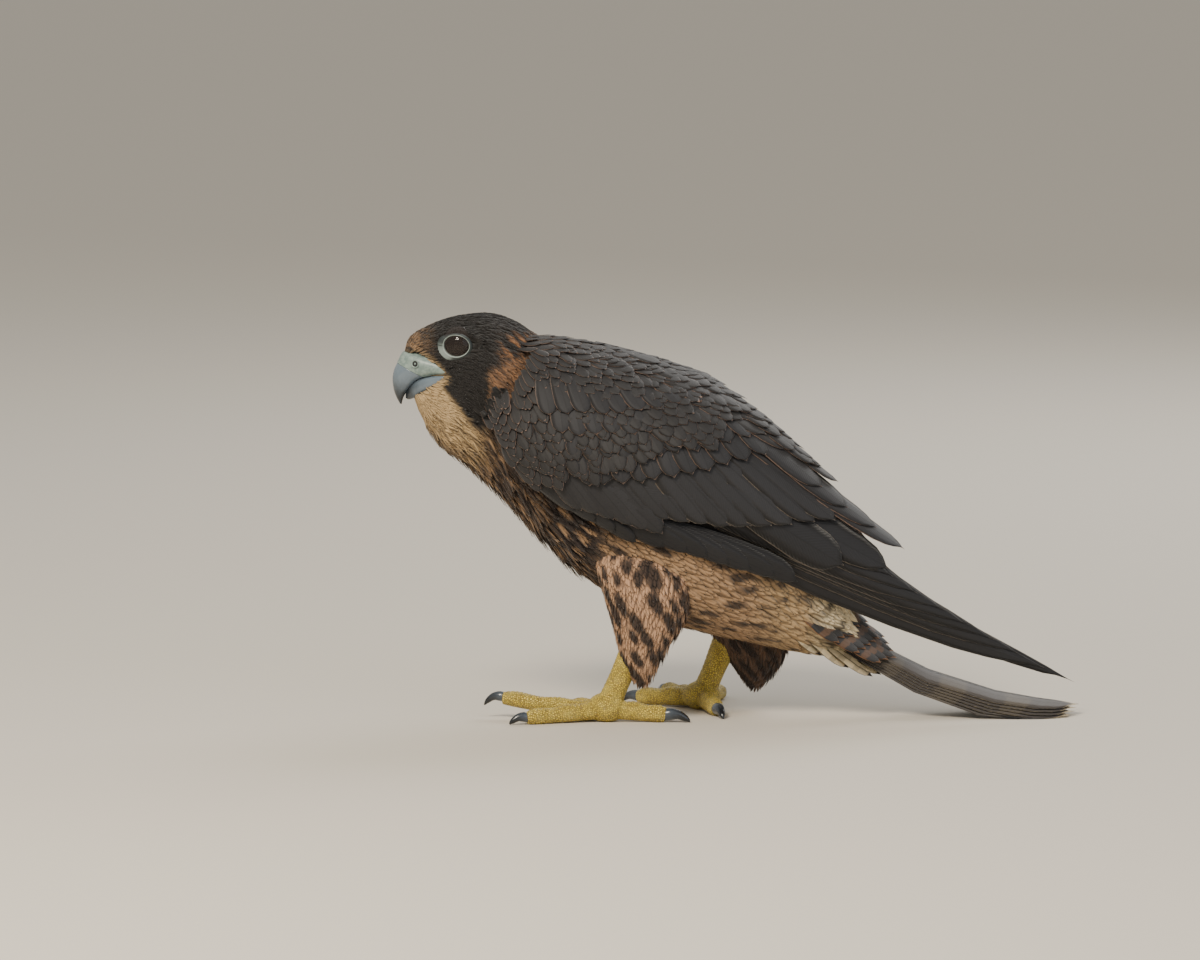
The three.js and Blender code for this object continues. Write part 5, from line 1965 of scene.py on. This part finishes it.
@dataclass
class Face:
    """Bill, cere, nostrils, eyes and the bare rings round them."""

    place: Place
    nostril_x: float = -128.6
    nostril_z: float = 195.0

    def bill(self) -> None:
        """Upper and lower bill and the cere."""
        tip = len(UPPER_BILL.rows) - 1.0
        upper = tube(UPPER_BILL.rings(48, 48, span=(CERE_END, tip)))
        tucked = Form(LOWER_BILL.rows + np.array([0, 2.6, 0, 0, 0, 0.12, 0.5]))
        lower = tube(tucked.rings(30, 40, 0.3))
        cere = tube(UPPER_BILL.rings(36, 48, 0.25, span=(0, CERE_END)))
        given(object_of("bill_upper_horn", upper, self.place, BILL), "horn", "bill_upper")
        given(object_of("bill_lower_horn", lower, self.place, BILL), "horn", "bill_lower")
        given(object_of("cere_skin", cere, self.place, CERE), "skin_bill", "cere")

    def nostrils(self) -> None:
        """A round pit with a raised rim and a small peg in it, on each side of the cere; the pit's floor is a dark
        knob of painted shade.
        """

        def dome(radius: float, high: float, low: float) -> Sheet:
            """Flat-bottomed knob on the cere, of a radius and height, from a level over it."""
            polar = np.linspace(0.05, 3.0, 10)
            rows = [ring * radius * math.sin(f) + normal * (low + high * math.cos(f)) for f in polar]
            return tube(point + np.stack(rows))

        t, turn = np.meshgrid(np.linspace(0.4, 2.1, 120), np.linspace(-0.6, 1.5, 120), indexing="ij")
        spots = UPPER_BILL.at(t, turn)
        best = np.argmin(np.hypot(spots[..., 0] - self.nostril_x, spots[..., 2] - self.nostril_z))
        point, _, _, normal = (x[0] for x in UPPER_BILL.frame(t.ravel()[[best]], turn.ravel()[[best]]))
        side = unit(np.cross([0.0, 0.0, 1.0], normal))
        up = np.cross(normal, side)
        angle, around = turns(40), turns(12)
        ring = side * np.cos(angle)[:, None] + up * np.sin(angle)[:, None]
        rim = ring[:, None] * (1.95 + 0.4 * np.cos(around))[:, None]
        rim = rim + normal * (0.45 + 0.4 * np.sin(around))[:, None]
        sheets = {
            "nostril_rims": (hoop(point + rim), CERE),
            # The pit's floor: a dark knob of painted shade.
            "nostril_shade_knobs": (dome(1.8, 0.35, 0.22), NOSTRIL_SHADE),
            "nostril_pegs": (dome(0.62, 0.5, 0.35), CERE),
        }
        for name, (sheet, finish) in sheets.items():
            piece = object_of(name, merged([sheet, sheet.mirrored()]), self.place, finish)
            given(piece, "skin_bill")

    def eyes(self) -> None:
        """Eyeballs, and the rings of bare skin that widen to the front and below."""
        for side, name in ((-1, "left"), (1, "right")):
            look, fore, up = EYE.axes(side)
            centre = np.array([EYE.x, side * EYE.y, EYE.z])
            c, s = np.cos(turns(96))[:, None], np.sin(turns(96))[:, None]
            ring = fore * c + up * s
            polar = np.linspace(0.02, np.pi - 0.02, 64)[:, None, None]
            ball = centre + EYE.radius * (ring[None] * np.sin(polar) + look * np.cos(polar))
            given(object_of(f"eyeball_{name}", tube(ball), self.place, EYEBALL), "eye", f"eye_{name}")
            inner, wide = EYE.opening(c, s), EYE.bare(c, s)
            deep = np.sqrt(EYE.radius**2 - inner**2)
            sink = lambda share: -1.1 * share**2 - 4.2 * share * np.clip(c, 0, 1) ** 2
            profile = [(-0.25, -1.2, 0), (-0.1, 0.2, 0), (0.15, 0.5, 0), (0.5, 0.3, 0.0)]
            profile += [(0.3, 0.15, share) for share in (0.25, 0.5, 0.75, 1.0)] + [(0, -1.6, 1.0), (0.6, -3.0, 0)]
            rings = [
                centre + ring * (inner + off + wide * share) + look * (deep + lift + sink(share))
                for off, lift, share in profile
            ]
            given(object_of(f"eye_ring_{name}", hoop(np.stack(rings, 1)), self.place, RING), "skin_bill")

    def build(self) -> None:
        """Builds every piece of the face."""
        self.bill()
        self.nostrils()
        self.eyes()


@dataclass(frozen=True)
class Leg:
    """Where one leg's foot and ankle are and how its toes point, as in the solids."""

    name: str
    foot: tuple[float, float]
    ankle: tuple[float, float, float]
    heading: float
    spread: dict[str, float]
    lifted: dict[str, float]


LEGS = (
    Leg(
        "left",
        (-24, -28),
        (-4, -29, 52),
        176,
        {"inner": -42, "middle": -8, "outer": 22, "hind": 176},
        {"middle": 8},
    ),
    Leg("right", (29, 24), (44, 26, 42), 106, {"inner": 40, "middle": 4, "outer": -30, "hind": 178}, {}),
)
TOE_LENGTHS = {"inner": 34.0, "middle": 50.0, "outer": 38.0, "hind": 25.0}
CLAW_LENGTHS = {"inner": 14.0, "middle": 12.0, "outer": 11.0, "hind": 15.0}
TOE_GIRTH = [[0, 5.6], [0.22, 4.8], [0.42, 5.0], [0.62, 4.3], [0.86, 4.5], [1, 3.5]]
CLAW_GIRTH = {"inner": 1.2, "middle": 1.1, "outer": 1.1, "hind": 1.35}
SHANK_GIRTH = [[0, 7.5], [0.25, 7.1], [0.6, 6.3], [0.9, 6.7], [1, 7.2]]


def limb(rows: Array, count: int, sides: int, scutes: float = 0.0, pitch: float = 2.4) -> Sheet:
    """Round limb along a path, with ridges of scutes over its upper side.

    Args:
        rows: Table of x, y, z and radius.
        count: Rings along it.
        sides: Points round it.
        scutes: Height of the ridges as a share of the radius.
        pitch: Length of one ridge.

    Returns:
        The limb, its points no lower than the floor.
    """
    t = np.linspace(0, len(rows) - 1, count)
    path = spline(rows, t)
    centre, radius = path[:, :3], path[:, 3]
    ahead = unit(np.gradient(centre, axis=0))
    side = np.cross([0.0, 0.0, 1.0], ahead)
    weak = np.linalg.norm(side, axis=1) < 0.2
    side[weak] = [0.0, 1.0, 0.0]
    side = unit(side - ahead * np.einsum("ij,ij->i", side, ahead)[:, None])
    up = np.cross(ahead, side)
    way = np.concatenate([[0], np.cumsum(np.linalg.norm(np.diff(centre, axis=0), axis=1))])
    angle = turns(sides)
    c, s = np.cos(angle)[None, :, None], np.sin(angle)[None, :, None]
    ridge = np.abs(np.sin(np.pi * way / pitch))[:, None] * np.clip(np.sin(angle), 0, 1)[None]
    size = (radius[:, None] * (1 + scutes * (ridge - 0.5 * (ridge > 0))))[..., None]
    rings = centre[:, None] + (side[:, None] * c + up[:, None] * s) * size
    rings[..., 2] = np.maximum(rings[..., 2], 0.15)
    return tube(rings)


@dataclass
class Feet:
    """Scaly tarsi and toes in one skin per foot, and the claws."""

    place: Place
    voxel: float = 0.55

    def toe(self, leg: Leg, name: str) -> tuple[Array, Array]:
        """Paths of a toe and its claw.

        Args:
            leg: The leg.
            name: Which toe.

        Returns:
            Tables of x, y, z and radius.
        """
        turn = math.radians(leg.heading + leg.spread[name])
        length = TOE_LENGTHS[name] + 4
        girth = 1.05 if name in ("hind", "inner") else 0.97
        rise = leg.lifted.get(name, 0.0)
        share = np.array([r[0] for r in TOE_GIRTH])
        radius = np.array([r[1] for r in TOE_GIRTH]) * girth
        reach = 4 + length * share
        heading = np.array([math.cos(turn), math.sin(turn)])
        flat = np.array(leg.foot) + reach[:, None] * heading
        height = radius * 0.93 + 1.6 * (1 - share) + rise * share**1.5
        rows = np.column_stack([flat, height, radius])
        end, z, long = flat[-1], height[-1], CLAW_LENGTHS[name]
        low = z - 4 if rise > 0 else 0.5
        steps = [(-0.16, z + 0.3, 2.3), (0.14, z + 1.1, 2.5), (0.46, z + 0.7, 1.9)]
        steps += [(0.74, blend(z, low, 0.45), 1.25), (0.88, low, 0.35)]
        thick = CLAW_GIRTH[name]
        return rows, np.array([[*(end + heading * ahead * long), up, r * thick] for ahead, up, r in steps])

    def shank(self, leg: Leg) -> Array:
        """Path of the bare shank from the ankle to the foot.

        Args:
            leg: The leg.

        Returns:
            A table of x, y, z and radius.
        """
        share, radius = np.array(SHANK_GIRTH).T
        ends = zip(leg.ankle, (*leg.foot, 6.5))
        return np.column_stack([*(blend(high, low, share) for high, low in ends), radius])

    def ball(self, leg: Leg) -> Sheet:
        """The ball of the foot, where the toes meet.

        Args:
            leg: The leg.

        Returns:
            A rounded form that is no lower than the floor.
        """
        angle, polar = np.meshgrid(turns(40), np.linspace(0.05, np.pi - 0.05, 24))
        x = leg.foot[0] + 10.7 * np.cos(angle) * np.sin(polar)
        y = leg.foot[1] + 9.7 * np.sin(angle) * np.sin(polar)
        return tube(np.stack([x, y, np.maximum(7.6 + 8.3 * np.cos(polar), 0.15)], -1))

    def build(self) -> None:
        """Builds both feet. The limbs of a foot are fused by a voxel remesh and smoothed."""
        for leg in LEGS:
            sheets, claws = [limb(self.shank(leg), 90, 32, 0.05, 3.0), self.ball(leg)], []
            for name in TOE_LENGTHS:
                rows, claw = self.toe(leg, name)
                sheets.append(limb(rows, 140, 32, 0.13))
                claws.append(limb(claw, 40, 20))
            foot = object_of(f"foot_{leg.name}", merged(sheets), self.place, SCALES)
            fuse = foot.modifiers.new("fuse", "REMESH")
            fuse.mode, fuse.voxel_size, fuse.use_smooth_shade = "VOXEL", self.voxel * MM, True
            even = foot.modifiers.new("even", "SMOOTH")
            even.iterations = 1
            nodes = [f"tarsus_{leg.name}"] + [f"toe_{leg.name}_{n}" for n in TOE_LENGTHS]
            given(foot, "foot_scale", *nodes)
            piece = object_of(f"claws_{leg.name}", merged(claws), self.place, CLAW)
            given(piece, "claw", *[f"claw_{leg.name}_{n}" for n in TOE_LENGTHS])


@dataclass
class Studio:
    """Plain floor, soft lights and the camera at the photo's angle."""

    place: Place
    aim: tuple[float, float, float] = (-27.5, 0.0, 130.0)
    elevation: float = math.radians(6)
    distance: float = 5.0
    frame_width: float = 0.66

    def light(
        self, name: str, spot: tuple[float, float, float], size: float, power: float, colour: str
    ) -> None:
        """Adds a soft light that points at the bird.

        Args:
            name: Its name.
            spot: Where it is, in metres.
            size: Its width.
            power: Watts.
            colour: Its colour.
        """
        data = bpy.data.lights.new(name, "AREA")
        data.size, data.energy, data.color = size, power, linear(colour)
        made = bpy.data.objects.new(name, data)
        made.location = spot
        made.rotation_euler = (Vector((-0.05, 0, 0.12)) - Vector(spot)).to_track_quat("-Z", "Y").to_euler()
        bpy.context.scene.collection.objects.link(made)

    def build(self) -> None:
        """Builds the stage and the camera."""
        mesh = bpy.data.meshes.new("floor")
        mesh.from_pydata([(-20, -20, 0), (20, -20, 0), (20, 20, 0), (-20, 20, 0)], [], [(0, 1, 2, 3)])
        mesh.materials.append(FLOOR.material())
        floor = bpy.data.objects.new("floor", mesh)
        bpy.context.scene.collection.objects.link(floor)
        self.light("key", (-0.75, -1.45, 1.5), 0.6, 46, "#fff3e0")
        self.light("fill", (1.2, -1.6, 0.8), 1.6, 9, "#e6efff")
        self.light("back", (0.8, 1.5, 1.4), 1.2, 20, "#ffffff")
        world = bpy.data.worlds.new("pale")
        world.use_nodes = True
        world.node_tree.nodes["Background"].inputs[0].default_value = (*linear("#d9d6cf"), 1)
        world.node_tree.nodes["Background"].inputs[1].default_value = 0.8
        bpy.context.scene.world = world
        data = bpy.data.cameras.new("camera")
        data.sensor_width = 36.0
        data.lens = 36.0 * self.distance / self.frame_width
        data.clip_end = 50.0
        camera = bpy.data.objects.new("camera", data)
        aim = Vector(self.place.to_row(np.array(self.aim)))
        back = Vector((0, -math.cos(self.elevation), math.sin(self.elevation)))
        camera.location = aim + back * self.distance
        camera.rotation_euler = (-back).to_track_quat("-Z", "Y").to_euler()
        bpy.context.scene.collection.objects.link(camera)
        bpy.context.scene.camera = camera


def main() -> None:
    """Builds the bird in order."""
    logging.basicConfig(level=logging.INFO, format="%(message)s")
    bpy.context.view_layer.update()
    place = Place.found()
    for part in (Coat(place), Wings(place), Tail(place), Face(place), Feet(place)):
        LOG.info("building %s", type(part).__name__)
        part.build()
    Studio(place).build()


if __name__ == "__main__":
    main()
